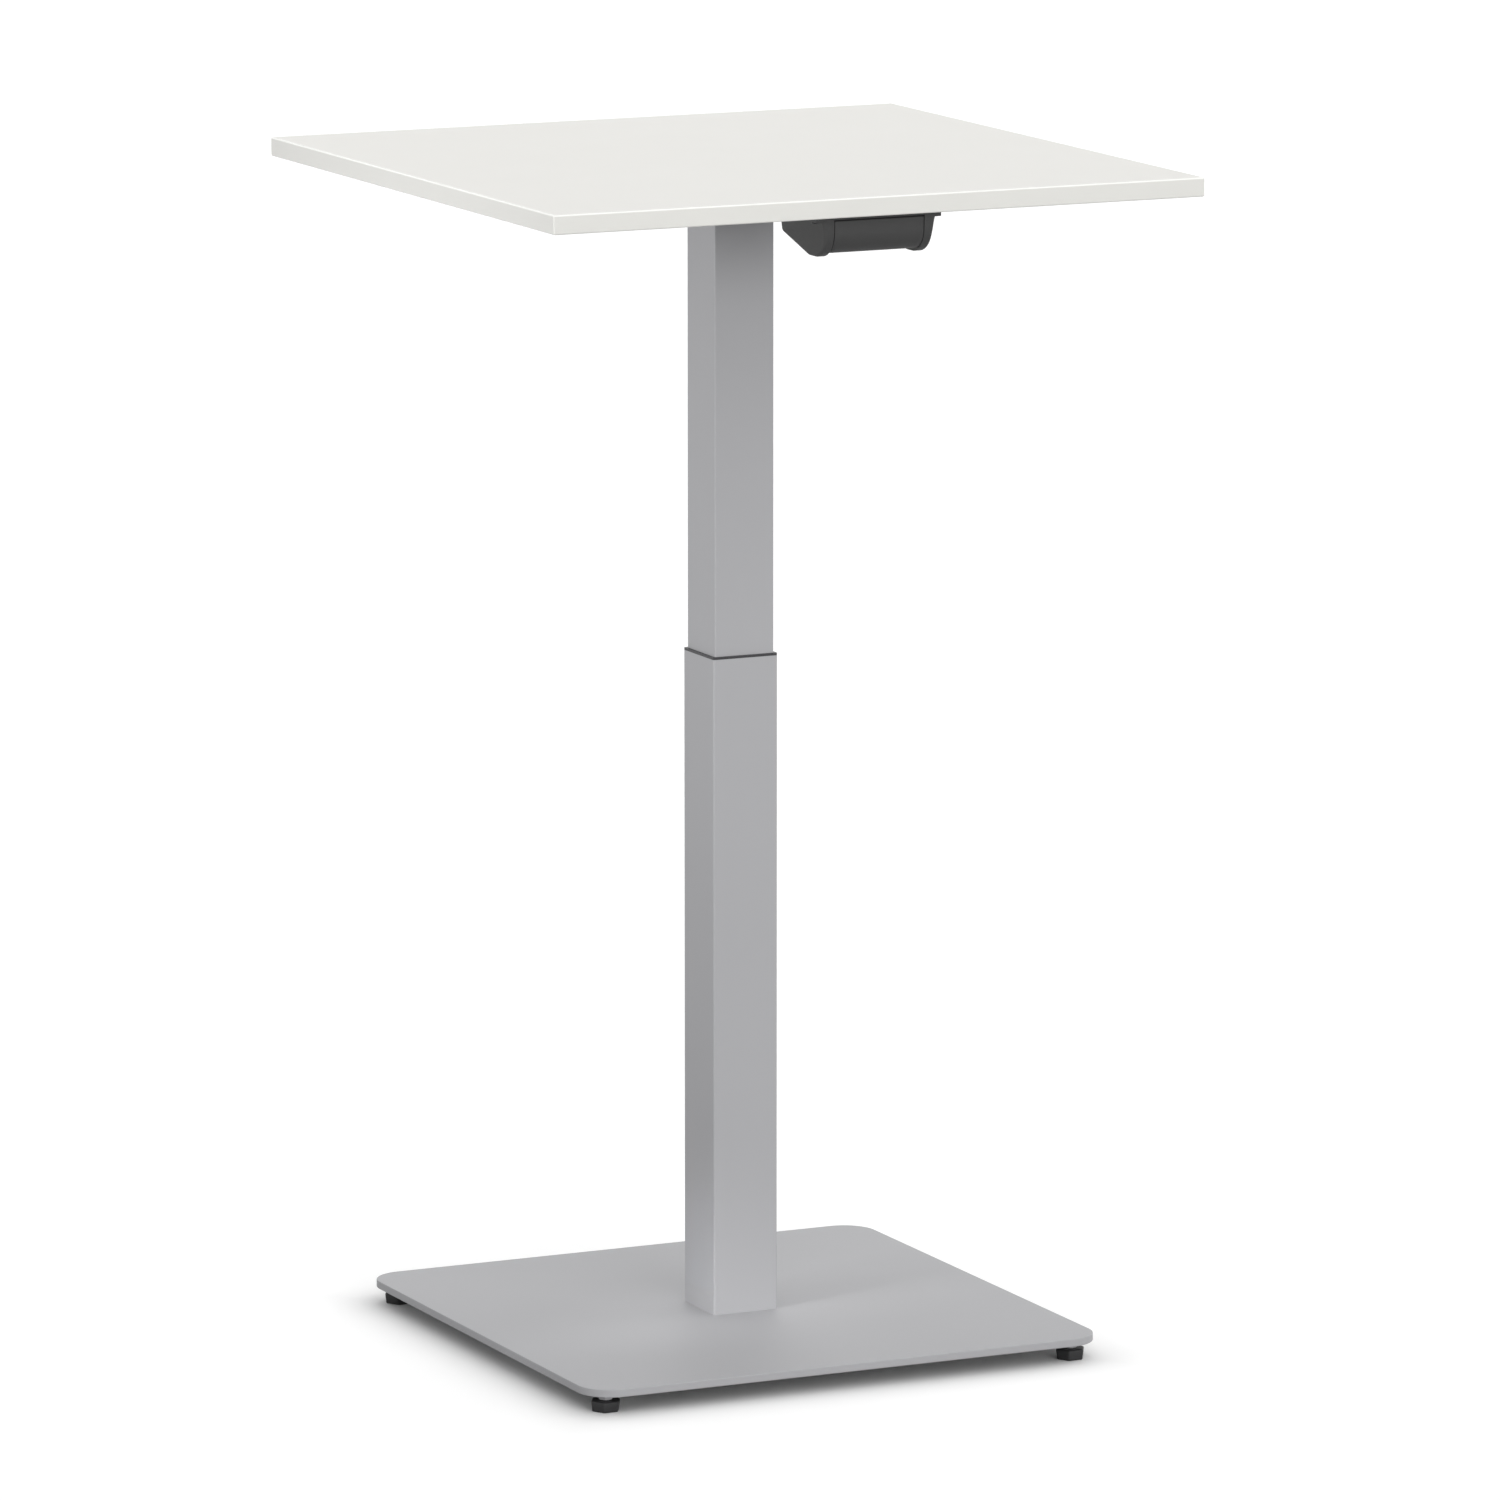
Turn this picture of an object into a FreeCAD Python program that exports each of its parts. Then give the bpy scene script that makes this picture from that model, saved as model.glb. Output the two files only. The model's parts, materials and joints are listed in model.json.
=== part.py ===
import FreeCAD, Part
import math
import operator
import os
import Sketcher

# Height-adjustable table: a square laminate top on one telescopic square column, raised by a lockable
# gas spring and let go by a paddle under the front edge.
# Frame: +X to the right along the front edge, +Y to the back, +Z up, origin on the floor under the column.
# The table stands at the top of its lift. Lengths are millimetres, angles degrees.
SIZES = {
    # Worktop: board with laminate above and below, and an edge band on each side
    "worktop_width": 700,
    "worktop_depth": 700,
    "worktop_height": 1200,
    "worktop_thickness": 19,
    "laminate_thickness": 0.8,
    "band_thickness": 2,
    "band_round": 1.5,
    # Base plate
    "base_width": 565,
    "base_depth": 565,
    "base_thickness": 8,
    "base_corner": 35,
    "base_edge_round": 0.8,
    # Levelling feet: tapered hexagons on studs, in nuts welded under the plate
    "foot_gap": 18,
    "foot_inset": 26,
    "foot_flats_top": 27.6,
    "foot_flats_bottom": 25.6,
    "foot_height": 11,
    "foot_bevel": 1.6,
    "stud_radius": 4,
    "stud_in_foot": 7,
    "stud_in_plate": 4,
    "stud_end_room": 1,
    "weld_nut_flats": 13,
    "weld_nut_height": 6.5,
    # Column: two square tubes, a guide collar on top of the outer one, a shoe under the inner one
    "tube_width": 71,
    "tube_wall": 2,
    "tube_corner": 2,
    "tube_inside_corner_share": 0.5,
    "tube_length": 673,
    "column_gap": 1,
    "slide_gap": 0.3,
    "seat_gap": 0.1,
    "fit_gap": 0.05,
    "collar_flange": 2.5,
    "collar_depth": 60,
    "tube_overlap": 190,
    "shoe_length": 80,
    "shoe_lip": 3,
    "shoe_opening": 48,
    # Plate in the foot of the outer tube, and the bolts that hold it to the base
    "foot_plate_thickness": 12,
    "bolt_spacing": 44,
    "bolt_radius": 4,
    "bolt_length": 17,
    "bolt_head_radius": 8,
    "bolt_head_depth": 4,
    "bolt_socket_flats": 5,
    "bolt_socket_depth": 2.5,
    # Gas spring
    "cylinder_radius": 14,
    "cylinder_wall": 1.5,
    "cylinder_length": 575,
    "plug_thickness": 10,
    "plug_stud_radius": 5,
    "plug_stud_bite": 9,
    "cylinder_nut_flats": 17,
    "cylinder_nut_height": 8,
    "gland_length": 18,
    "gland_rim": 2,
    "seal_height": 4,
    "rod_radius": 5,
    "rod_reserve": 25,
    "piston_height": 16,
    "piston_seal_height": 4,
    "piston_seal_depth": 3,
    "valve_pin_radius": 1.9,
    "valve_pin_stand": 5,
    "valve_pin_seat": 5,
    # Head of the inner tube: anchor plate, release head and its crank
    "anchor_thickness": 8,
    "rod_nut_flats": 17,
    "rod_nut_height": 6,
    "head_width": 36,
    "head_front": 12,
    "head_base": 10,
    "head_ear_thickness": 5,
    "head_ear_half": 8,
    "crank_width": 10,
    "crank_side_gap": 0.5,
    "crank_arm": 15,
    "crank_arm_half": 3,
    "crank_arm_over": 4,
    "crank_nose": 14,
    "nose_radius": 3,
    "hub_radius": 6,
    "lever_pin_radius": 2.5,
    "lever_pin_stand": 1,
    "press_gap": 0.3,
    # Plate under the worktop
    "mount_width": 250,
    "mount_thickness": 6,
    "mount_corner": 12,
    "screw_inset": 18,
    "screw_radius": 2.5,
    "screw_head_radius": 4.5,
    "screw_head_height": 3,
    "screw_bite": 12,
    # Release cable
    "cable_drop": 16,
    "wire_radius": 0.8,
    "wire_slot_half": 1.4,
    "wire_slot_room": 5.8,
    "wire_slack": 1.2,
    "nipple_radius": 2,
    "nipple_length": 4,
    "sheath_radius": 2.5,
    "sheath_bore": 1.1,
    "ferrule_radius": 3.5,
    "ferrule_length": 10,
    "ferrule_end": 3,
    "ferrule_rim": 2,
    "ferrule_rim_radius": 6,
    "clip_first": 20,
    "clip_pitch": 28,
    "clip_half_width": 6,
    "clip_length": 10,
    "clip_under": 2,
    "clip_ear": 11,
    "clip_ear_thickness": 3,
    "small_screw_radius": 2,
    "small_screw_head_radius": 3.5,
    "small_screw_head_height": 2.2,
    # Release handle: moulded housing with two cheeks, and the paddle hinged between them
    "handle_setback": 10,
    "handle_depth": 100,
    "handle_width": 116,
    "handle_drop": 41,
    "handle_back_drop": 24,
    "handle_chin": 40,
    "handle_nose_round": 27,
    "handle_chin_round": 12,
    "handle_back_round": 5,
    "cheek_thickness": 9.5,
    "cheek_edge_round": 3,
    "flange_overhang": 9,
    "flange_thickness": 3,
    "handle_ear_thickness": 5,
    "handle_screw_inset": 15,
    "duct_half_width": 6,
    "duct_setback": 24,
    "duct_drop": 21,
    "duct_wall": 3,
    "pivot_drop": 7.5,
    "paddle_pin_radius": 2,
    "paddle_pin_seat": 7,
    "paddle_barrel_radius": 4.2,
    "paddle_side_gap": 0.5,
    "paddle_wall": 3.5,
    "paddle_drop": 37.5,
    "paddle_rise": 2.9,
    "paddle_lip": 33.5,
    "paddle_nose_round": 22,
    "paddle_lip_round": 1.5,
    "paddle_arm_offset": 9.5,
    "paddle_arm_thickness": 4,
    "paddle_arm_half": 5,
    "paddle_arm_under": 4.5,
    "paddle_web_half": 2.8,
    # How far a cutting tool runs past the face it cuts
    "overrun": 1,
}

SIGNS = {"+": operator.add, "-": operator.sub, "*": operator.mul, "/": operator.truediv}
AXIS_TURNS = {
    "x": FreeCAD.Rotation(FreeCAD.Vector(0, 1, 0), 90),
    "y": FreeCAD.Rotation(FreeCAD.Vector(1, 0, 0), -90),
    "z": FreeCAD.Rotation(),
}
HEXAGON = 6
ORIGIN, START, END = -1, 1, 2
SAME = 1e-6
FLATS_TO_CORNER_SHARE = 3 ** -0.5
SIDES = {"left": -1, "right": 1}
ENDS = {"front": -1, "rear": 1}


class Size:
    """A length that carries its value and the sheet expression that gives it."""

    def __init__(self, text, value):
        self.text = text
        self.value = value

    def __add__(self, other):
        return join(self, "+", other)

    def __radd__(self, other):
        return join(other, "+", self)

    def __sub__(self, other):
        return join(self, "-", other)

    def __rsub__(self, other):
        return join(other, "-", self)

    def __mul__(self, other):
        return join(self, "*", other)

    def __rmul__(self, other):
        return join(other, "*", self)

    def __truediv__(self, other):
        return join(self, "/", other)

    def __neg__(self):
        return join(0, "-", self)


def as_size(thing):
    return thing if isinstance(thing, Size) else Size(repr(float(thing)), float(thing))


def join(left, sign, right):
    left, right = as_size(left), as_size(right)
    return Size(f"({left.text} {sign} {right.text})", SIGNS[sign](left.value, right.value))


class Sizes:
    """Every cell of the sheet as a Size, by its alias."""


def fill_sheet(document):
    sheet = document.addObject("Spreadsheet::Sheet", "sizes")
    for row, (name, value) in enumerate(SIZES.items(), start=1):
        sheet.set(f"A{row}", name)
        sheet.set(f"B{row}", str(value))
        sheet.setAlias(f"B{row}", name)
    document.recompute()
    for name in SIZES:
        setattr(Sizes, name, Size(f"sizes.{name}", float(sheet.get(name))))
    return Sizes


doc = FreeCAD.newDocument("table")
S = fill_sheet(doc)
nodes = []


# Ways of making a solid

def keep(item):
    """Mark a finished sub-part, whose label names its file."""
    nodes.append(item)
    return item


def bind(item, **lengths):
    for name, length in lengths.items():
        item.setExpression(name, as_size(length).text)


def place(item, x, y, z, along="z"):
    item.Placement = FreeCAD.Placement(FreeCAD.Vector(), AXIS_TURNS[along])
    for axis, length in zip("xyz", (x, y, z)):
        item.setExpression(f"Placement.Base.{axis}", as_size(length).text)
    return item


def block(name, low, high):
    """A box between two corners."""
    item = doc.addObject("Part::Box", name)
    lengths = [as_size(b) - as_size(a) for a, b in zip(low, high)]
    bind(item, Length=lengths[0], Width=lengths[1], Height=lengths[2])
    return place(item, *low)


def bar(name, radius, length, x, y, z, along="z"):
    """A round bar that starts at a point and runs along an axis."""
    item = doc.addObject("Part::Cylinder", name)
    bind(item, Radius=radius, Height=length)
    return place(item, x, y, z, along)


def hexagon_bar(name, flats, length, x, y, z):
    item = doc.addObject("Part::Prism", name)
    item.Polygon = HEXAGON
    bind(item, Circumradius=flats * FLATS_TO_CORNER_SHARE, Height=length)
    return place(item, x, y, z)


def cone(name, low_radius, high_radius, height, x, y, z):
    item = doc.addObject("Part::Cone", name)
    bind(item, Radius1=low_radius, Radius2=high_radius, Height=height)
    return place(item, x, y, z)


def fuse(name, pieces):
    item = doc.addObject("Part::MultiFuse", name)
    item.Shapes = pieces
    item.Refine = True
    return item


def cut(name, base, tools):
    item = doc.addObject("Part::Cut", name)
    item.Base = base
    item.Tool = tools[0] if len(tools) == 1 else fuse(f"{name}_tools", tools)
    item.Refine = True
    return item


def group(name, pieces):
    """Several like solids under one name."""
    item = doc.addObject("Part::Compound", name)
    item.Links = pieces
    return item


def ring(name, radius, bore, length, x, y, z, along="z"):
    """A round bar with a hole right through it."""
    outside = bar(f"{name}_outside", radius, length, x, y, z, along)
    start = dict(zip("xyz", (x, y, z)))
    start[along] = start[along] - S.overrun
    hole = bar(f"{name}_bore", bore, length + 2 * S.overrun, start["x"], start["y"], start["z"], along)
    return cut(name, outside, [hole])


def drilled_nut(name, flats, height, bore, x, y, z):
    outside = hexagon_bar(f"{name}_outside", flats, height, x, y, z)
    hole = bar(f"{name}_bore", bore, height + 2 * S.overrun, x, y, z - S.overrun)
    return cut(name, outside, [hole])


def origin_plane(body, role):
    return next(plane for plane in body.Origin.OriginFeatures if plane.Role == role)


def rectangle(width, depth, corner):
    """The four corners of a rectangle about the origin, rounded alike."""
    signs = ((-1, -1), (1, -1), (1, 1), (-1, 1))
    return [(across * width / 2, along * depth / 2, corner) for across, along in signs]


def arc_at_corner(corner, back, ahead, radius):
    """The arc that rounds a corner, and whether the outline turns left there."""
    half = back.getAngle(ahead) / 2
    centre = corner + (back + ahead).normalize() * (radius / math.sin(half))
    reach = radius / math.tan(half)
    arrive, leave = corner + back * reach, corner + ahead * reach
    left_turn = (back * -1).cross(ahead).z > 0
    start, end = (arrive, leave) if left_turn else (leave, arrive)
    from_angle = math.atan2(start.y - centre.y, start.x - centre.x)
    sweep = (math.atan2(end.y - centre.y, end.x - centre.x) - from_angle) % (2 * math.pi)
    circle = Part.Circle(centre, FreeCAD.Vector(0, 0, 1), radius)
    return Part.ArcOfCircle(circle, from_angle, from_angle + sweep), arrive, leave, left_turn


def dimension(sketch, length, *constraint):
    """Add a dimension to a sketch and bind it to its expression."""
    length = as_size(length)
    index = sketch.addConstraint(Sketcher.Constraint(*constraint, length.value))
    sketch.setExpression(f"Constraints[{index}]", length.text)


def draw_outline(sketch, corners):
    """A closed outline through (x, y, radius) corners, counter-clockwise; radius 0 leaves a corner sharp."""
    count, first = len(corners), sketch.GeometryCount
    points = [FreeCAD.Vector(as_size(x).value, as_size(y).value, 0) for x, y, _ in corners]
    arrive, leave, arcs = list(points), list(points), {}
    for here, (_, _, radius) in enumerate(corners):
        if isinstance(radius, Size):
            back = (points[here - 1] - points[here]).normalize()
            ahead = (points[(here + 1) % count] - points[here]).normalize()
            arc, arrive[here], leave[here], left_turn = arc_at_corner(points[here], back, ahead, radius.value)
            arcs[here] = (arc, (START, END) if left_turn else (END, START))
    for here in range(count):
        sketch.addGeometry(Part.LineSegment(leave[here], arrive[(here + 1) % count]), False)
    for here, (x, y, radius) in enumerate(corners):
        before, after = first + (here - 1) % count, first + here
        if here in arcs:
            arc, (near, far) = arcs[here]
            curve = sketch.addGeometry(arc, False)
            anchor = sketch.addGeometry(Part.Point(points[here]), True)
            sketch.addConstraint(Sketcher.Constraint("PointOnObject", anchor, START, before))
            sketch.addConstraint(Sketcher.Constraint("PointOnObject", anchor, START, after))
            sketch.addConstraint(Sketcher.Constraint("Tangent", before, END, curve, near))
            sketch.addConstraint(Sketcher.Constraint("Tangent", curve, far, after, START))
            dimension(sketch, radius, "Radius", curve)
        else:
            anchor = after
            sketch.addConstraint(Sketcher.Constraint("Coincident", before, END, after, START))
        dimension(sketch, x, "DistanceX", ORIGIN, START, anchor, START)
        dimension(sketch, y, "DistanceY", ORIGIN, START, anchor, START)


def profile(name, plane, outlines, length, x=0, y=0, z=0):
    """A body padded from outlines on one of its own planes, square to that plane."""
    body = doc.addObject("PartDesign::Body", name)
    sketch = body.newObject("Sketcher::SketchObject", f"{name}_outline")
    sketch.AttachmentSupport = [(origin_plane(body, plane), "")]
    sketch.MapMode = "FlatFace"
    for corners in outlines:
        draw_outline(sketch, corners)
    pad = body.newObject("PartDesign::Pad", f"{name}_pad")
    pad.Profile = sketch
    bind(pad, Length=length)
    return place(body, x, y, z)


def round_body(body, radius, chosen):
    """Round the edges of a body's last feature that the chosen test picks."""
    doc.recompute()
    tip = body.Tip
    edges = [f"Edge{number}" for number, edge in enumerate(tip.Shape.Edges, start=1) if chosen(edge.BoundBox)]
    fillet = body.newObject("PartDesign::Fillet", f"{body.Name}_round")
    fillet.Base = (tip, edges)
    bind(fillet, Radius=radius)
    return body


def rounded_block(name, low, high, radius, chosen):
    """A box with the edges rounded that the chosen test picks."""
    solid = block(f"{name}_block", low, high)
    doc.recompute()
    fillet = doc.addObject("Part::Fillet", name)
    fillet.Base = solid
    picked = [number for number, edge in enumerate(solid.Shape.Edges, start=1) if chosen(edge.BoundBox)]
    fillet.Edges = [(number, radius.value, radius.value) for number in picked]
    return fillet


def tube(name, width, corner, wall, length, z):
    """A square tube standing on a height, its inside corners a share of the outside ones."""
    inside = rectangle(width - 2 * wall, width - 2 * wall, corner * S.tube_inside_corner_share)
    return profile(name, "XY_Plane", [rectangle(width, width, corner), inside], length, z=z)


# Heights and places that several pieces share
plate_low = S.foot_gap
plate_top = plate_low + S.base_thickness
tube_top = plate_top + S.tube_length
tube_bore = S.tube_width - 2 * S.tube_wall
inner_width = tube_bore - 2 * S.column_gap
inner_bore = inner_width - 2 * S.tube_wall
inner_corner = S.tube_corner - S.column_gap
bore_corner = S.tube_corner * S.tube_inside_corner_share
inner_low = tube_top - S.tube_overlap
worktop_low = S.worktop_height - S.worktop_thickness
mount_low = worktop_low - S.mount_thickness
cable_height = worktop_low - S.cable_drop
crank_height = cable_height - S.crank_arm
pin_top = crank_height - S.nose_radius - S.press_gap
rod_top = pin_top - S.valve_pin_stand
anchor_top = rod_top - S.head_base
cylinder_low = plate_top + S.foot_plate_thickness + S.cylinder_nut_height
cylinder_top = cylinder_low + S.cylinder_length
cylinder_bore = S.cylinder_radius - S.cylinder_wall
gland_low = cylinder_top - S.gland_rim - S.gland_length
piston_top = gland_low - S.seal_height - S.rod_reserve
piston_low = piston_top - S.piston_height
inner_front = -inner_width / 2
handle_front = S.handle_setback - S.worktop_depth / 2
handle_back = handle_front + S.handle_depth
cheek_inside = S.handle_width / 2 - S.cheek_thickness
pivot_y = handle_front + S.paddle_barrel_radius + S.slide_gap
pivot_height = worktop_low - S.pivot_drop
duct_front = handle_front + S.duct_setback
paddle_arm_front = pivot_y + S.paddle_arm_offset


def corner_places(half_x, half_y):
    """The four places (name, x, y) at plus and minus two distances."""
    return [(f"{end}_{side}", half_x * across, half_y * along)
            for end, along in ENDS.items() for side, across in SIDES.items()]


foot_places = corner_places(S.base_width / 2 - S.foot_inset, S.base_depth / 2 - S.foot_inset)
bolt_places = corner_places(S.bolt_spacing / 2, S.bolt_spacing / 2)


# Base plate, the bolts that hold the column to it, and the levelling feet

def countersunk(name, gap, x, y):
    """The outside of a countersunk bolt that enters from below, grown by a gap."""
    head = cone(f"{name}_head", S.bolt_head_radius + gap, S.bolt_radius + gap, S.bolt_head_depth,
                x, y, plate_low)
    shank = bar(f"{name}_shank", S.bolt_radius + gap, S.bolt_length + gap, x, y, plate_low)
    return fuse(name, [head, shank])


def make_base_plate():
    blank = profile("base_plate_blank", "XY_Plane",
                    [rectangle(S.base_width, S.base_depth, S.base_corner)], S.base_thickness, z=plate_low)
    round_body(blank, S.base_edge_round, lambda box: box.ZLength < SAME)
    tools = [countersunk(f"bolt_hole_{name}", S.seat_gap, x, y) for name, x, y in bolt_places]
    for name, x, y in foot_places:
        depth = S.stud_in_plate + S.stud_end_room
        tools.append(bar(f"stud_relief_{name}", S.stud_radius + S.slide_gap, depth + S.overrun,
                         x, y, plate_low - S.overrun))
    keep(cut("base_plate", blank, tools))


def make_column_bolts():
    bolts = []
    for name, x, y in bolt_places:
        socket = hexagon_bar(f"bolt_socket_{name}", S.bolt_socket_flats, S.bolt_socket_depth + S.overrun,
                             x, y, plate_low - S.overrun)
        bolts.append(cut(f"bolt_{name}", countersunk(f"bolt_blank_{name}", 0, x, y), [socket]))
    keep(group("column_bolts", bolts))


def foot_outline(name, flats, x, y, z):
    item = doc.addObject("Part::RegularPolygon", name)
    item.Polygon = HEXAGON
    bind(item, Circumradius=flats * FLATS_TO_CORNER_SHARE)
    return place(item, x, y, z)


def make_foot(name, x, y):
    """A tapered hexagon with its top corners turned off, its moulded-in stud, and the stud's nut."""
    taper = doc.addObject("Part::Loft", f"foot_taper_{name}")
    taper.Sections = [foot_outline(f"foot_sole_{name}", S.foot_flats_bottom, x, y, 0),
                      foot_outline(f"foot_top_{name}", S.foot_flats_top, x, y, S.foot_height)]
    taper.Solid = True
    taper.Ruled = True
    bevel_radius = S.foot_flats_top / 2 - S.foot_bevel
    bevel = cone(f"foot_bevel_{name}", bevel_radius + S.foot_height, bevel_radius, S.foot_height, x, y, 0)
    turned = doc.addObject("Part::Common", f"foot_turned_{name}")
    turned.Base = taper
    turned.Tool = bevel
    stud_low = S.foot_height - S.stud_in_foot
    socket = bar(f"foot_socket_{name}", S.stud_radius + S.fit_gap, S.stud_in_foot + S.overrun, x, y, stud_low)
    keep(cut(f"levelling_foot_{name}", turned, [socket]))
    keep(bar(f"foot_stud_{name}", S.stud_radius, plate_low + S.stud_in_plate - stud_low, x, y, stud_low))
    keep(drilled_nut(f"weld_nut_{name}", S.weld_nut_flats, S.weld_nut_height, S.stud_radius + S.fit_gap,
                     x, y, plate_low - S.weld_nut_height))


# Outer tube with the plate in its foot and the guide collar at its top

def make_outer_column():
    keep(tube("outer_tube", S.tube_width, S.tube_corner, S.tube_wall, S.tube_length, plate_top))
    side = tube_bore - 2 * S.seat_gap
    blank = profile("foot_plate_blank", "XY_Plane", [rectangle(side, side, bore_corner)],
                    S.foot_plate_thickness, z=plate_top)
    tools = [bar(f"plate_hole_{name}", S.bolt_radius + S.seat_gap, S.foot_plate_thickness + 2 * S.overrun,
                 x, y, plate_top - S.overrun) for name, x, y in bolt_places]
    tools.append(bar("plate_hole_centre", S.plug_stud_radius + S.seat_gap,
                     S.foot_plate_thickness + 2 * S.overrun, 0, 0, plate_top - S.overrun))
    keep(cut("tube_foot_plate", blank, tools))


def make_guide_collar():
    """A thin flange on the tube's end and a sleeve inside the tube, both open for the inner tube."""
    opening_side = inner_width + 2 * S.slide_gap
    sleeve_side = tube_bore - 2 * S.seat_gap
    opening = rectangle(opening_side, opening_side, inner_corner + S.slide_gap)
    flange_outside = rectangle(S.tube_width, S.tube_width, S.tube_corner)
    sleeve_outside = rectangle(sleeve_side, sleeve_side, bore_corner)
    flange = profile("collar_flange_ring", "XY_Plane", [flange_outside, opening], S.collar_flange, z=tube_top)
    sleeve = profile("collar_sleeve", "XY_Plane", [sleeve_outside, opening], S.collar_depth,
                     z=tube_top - S.collar_depth)
    keep(fuse("guide_collar", [flange, sleeve]))


# Inner tube with its shoe, anchor plate and the plate that carries the worktop

def make_inner_column():
    blank = tube("inner_tube_blank", inner_width, inner_corner, S.tube_wall, mount_low - inner_low, inner_low)
    hole = bar("cable_hole", S.ferrule_radius + S.seat_gap, S.tube_wall + 2 * S.overrun,
               0, inner_front - S.overrun, cable_height, "y")
    keep(cut("inner_tube", blank, [hole]))
    outside = rectangle(tube_bore - 2 * S.slide_gap, tube_bore - 2 * S.slide_gap, bore_corner)
    seat = rectangle(inner_width, inner_width, inner_corner)
    opening = rectangle(S.shoe_opening, S.shoe_opening, bore_corner)
    sleeve = profile("shoe_sleeve", "XY_Plane", [outside, seat], S.shoe_length, z=inner_low)
    lip = profile("shoe_lip_ring", "XY_Plane", [outside, opening], S.shoe_lip, z=inner_low - S.shoe_lip)
    keep(fuse("guide_shoe", [sleeve, lip]))
    side = inner_bore - 2 * S.seat_gap
    plate = profile("anchor_blank", "XY_Plane",
                    [rectangle(side, side, inner_corner * S.tube_inside_corner_share)],
                    S.anchor_thickness, z=anchor_top - S.anchor_thickness)
    hole = bar("anchor_hole", S.rod_radius + S.seat_gap, S.anchor_thickness + 2 * S.overrun,
               0, 0, anchor_top - S.anchor_thickness - S.overrun)
    keep(cut("anchor_plate", plate, [hole]))


def mount_screw_places():
    """The corners of the mounting plate, and the middles of its sides."""
    reach = S.mount_width / 2 - S.screw_inset
    middles = [("front", 0, -reach), ("rear", 0, reach), ("left", -reach, 0), ("right", reach, 0)]
    return corner_places(reach, reach) + middles


def make_mounting_plate():
    blank = profile("mounting_blank", "XY_Plane", [rectangle(S.mount_width, S.mount_width, S.mount_corner)],
                    S.mount_thickness, z=mount_low)
    tools = [bar(f"mount_hole_{name}", S.screw_radius + S.seat_gap, S.mount_thickness + 2 * S.overrun,
                 x, y, mount_low - S.overrun) for name, x, y in mount_screw_places()]
    keep(cut("mounting_plate", blank, tools))


# Worktop and the screws that go up into it

def handle_screw_places():
    reach = S.handle_width / 2 + S.flange_overhang / 2
    ends = {"front": handle_front + S.handle_screw_inset, "rear": handle_back - S.handle_screw_inset}
    return [(f"{end}_{side}", reach * across, y) for end, y in ends.items() for side, across in SIDES.items()]


def clip_places():
    """The clips along the sheath, the first one behind the handle."""
    return [(name, handle_back + S.clip_first + S.clip_pitch * step)
            for step, name in enumerate(("first", "second"))]


def clip_screw_places():
    x = S.clip_half_width + S.clip_ear / 2
    return [(name, x, y) for name, y in clip_places()]


def screw(name, radius, head_radius, head_height, seat, x, y):
    """A screw driven up from below: its head under the seat height, its shank in the board."""
    head = bar(f"{name}_head", head_radius, head_height, x, y, seat - head_height)
    shank = bar(f"{name}_shank", radius, worktop_low + S.screw_bite - seat, x, y, seat)
    return fuse(name, [head, shank])


def make_screws():
    mount = [screw(f"mount_screw_{name}", S.screw_radius, S.screw_head_radius,
                   S.screw_head_height, mount_low, x, y)
             for name, x, y in mount_screw_places()]
    handle = [screw(f"handle_screw_{name}", S.small_screw_radius, S.small_screw_head_radius,
                    S.small_screw_head_height, worktop_low - S.handle_ear_thickness, x, y)
              for name, x, y in handle_screw_places()]
    clips = [screw(f"clip_screw_{name}", S.small_screw_radius, S.small_screw_head_radius,
                   S.small_screw_head_height, worktop_low - S.clip_ear_thickness, x, y)
             for name, x, y in clip_screw_places()]
    keep(group("worktop_screws", mount))
    keep(group("handle_screws", handle))
    keep(group("clip_screws", clips))


def pilot_holes(piece):
    """A hole in the board's underside for each screw."""
    places = [(name, S.screw_radius, x, y) for name, x, y in mount_screw_places()]
    places += [(f"handle_{name}", S.small_screw_radius, x, y) for name, x, y in handle_screw_places()]
    places += [(f"clip_{name}", S.small_screw_radius, x, y) for name, x, y in clip_screw_places()]
    depth = S.screw_bite + S.seat_gap
    low = worktop_low - S.overrun
    return [bar(f"{piece}_pilot_{name}", radius + S.seat_gap, depth + S.overrun, x, y, low)
            for name, radius, x, y in places]


def make_worktop():
    half_x = S.worktop_width / 2
    half_y = S.worktop_depth / 2
    inside_x, inside_y = half_x - S.band_thickness, half_y - S.band_thickness
    core_low = worktop_low + S.laminate_thickness
    core_high = S.worktop_height - S.laminate_thickness
    core = block("core_blank", (-inside_x, -inside_y, core_low), (inside_x, inside_y, core_high))
    backer = block("backer_blank", (-inside_x, -inside_y, worktop_low), (inside_x, inside_y, core_low))
    keep(cut("worktop_core", core, pilot_holes("core")))
    keep(cut("worktop_backer", backer, pilot_holes("backer")))
    keep(block("worktop_laminate", (-inside_x, -inside_y, core_high), (inside_x, inside_y, S.worktop_height)))
    # Front and rear bands run the full width and are rounded at their ends; side bands stand between them
    for name, along in ENDS.items():
        low_y, high_y = sorted((half_y * along, inside_y * along), key=lambda length: length.value)
        inner_y = (inside_y * along).value
        keep(rounded_block(f"edge_band_{name}", (-half_x, low_y, worktop_low),
                           (half_x, high_y, S.worktop_height), S.band_round,
                           lambda box: box.YLength > SAME or abs(box.YMin - inner_y) > SAME))
    for name, across in SIDES.items():
        low_x, high_x = sorted((half_x * across, inside_x * across), key=lambda length: length.value)
        outer_x = (half_x * across).value
        keep(rounded_block(f"edge_band_{name}", (low_x, -inside_y, worktop_low),
                           (high_x, inside_y, S.worktop_height), S.band_round,
                           lambda box: box.XLength < SAME and box.ZLength < SAME
                           and abs(box.XMin - outer_x) < SAME))


# Gas spring inside the column: cylinder on the base, rod on the inner tube

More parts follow.
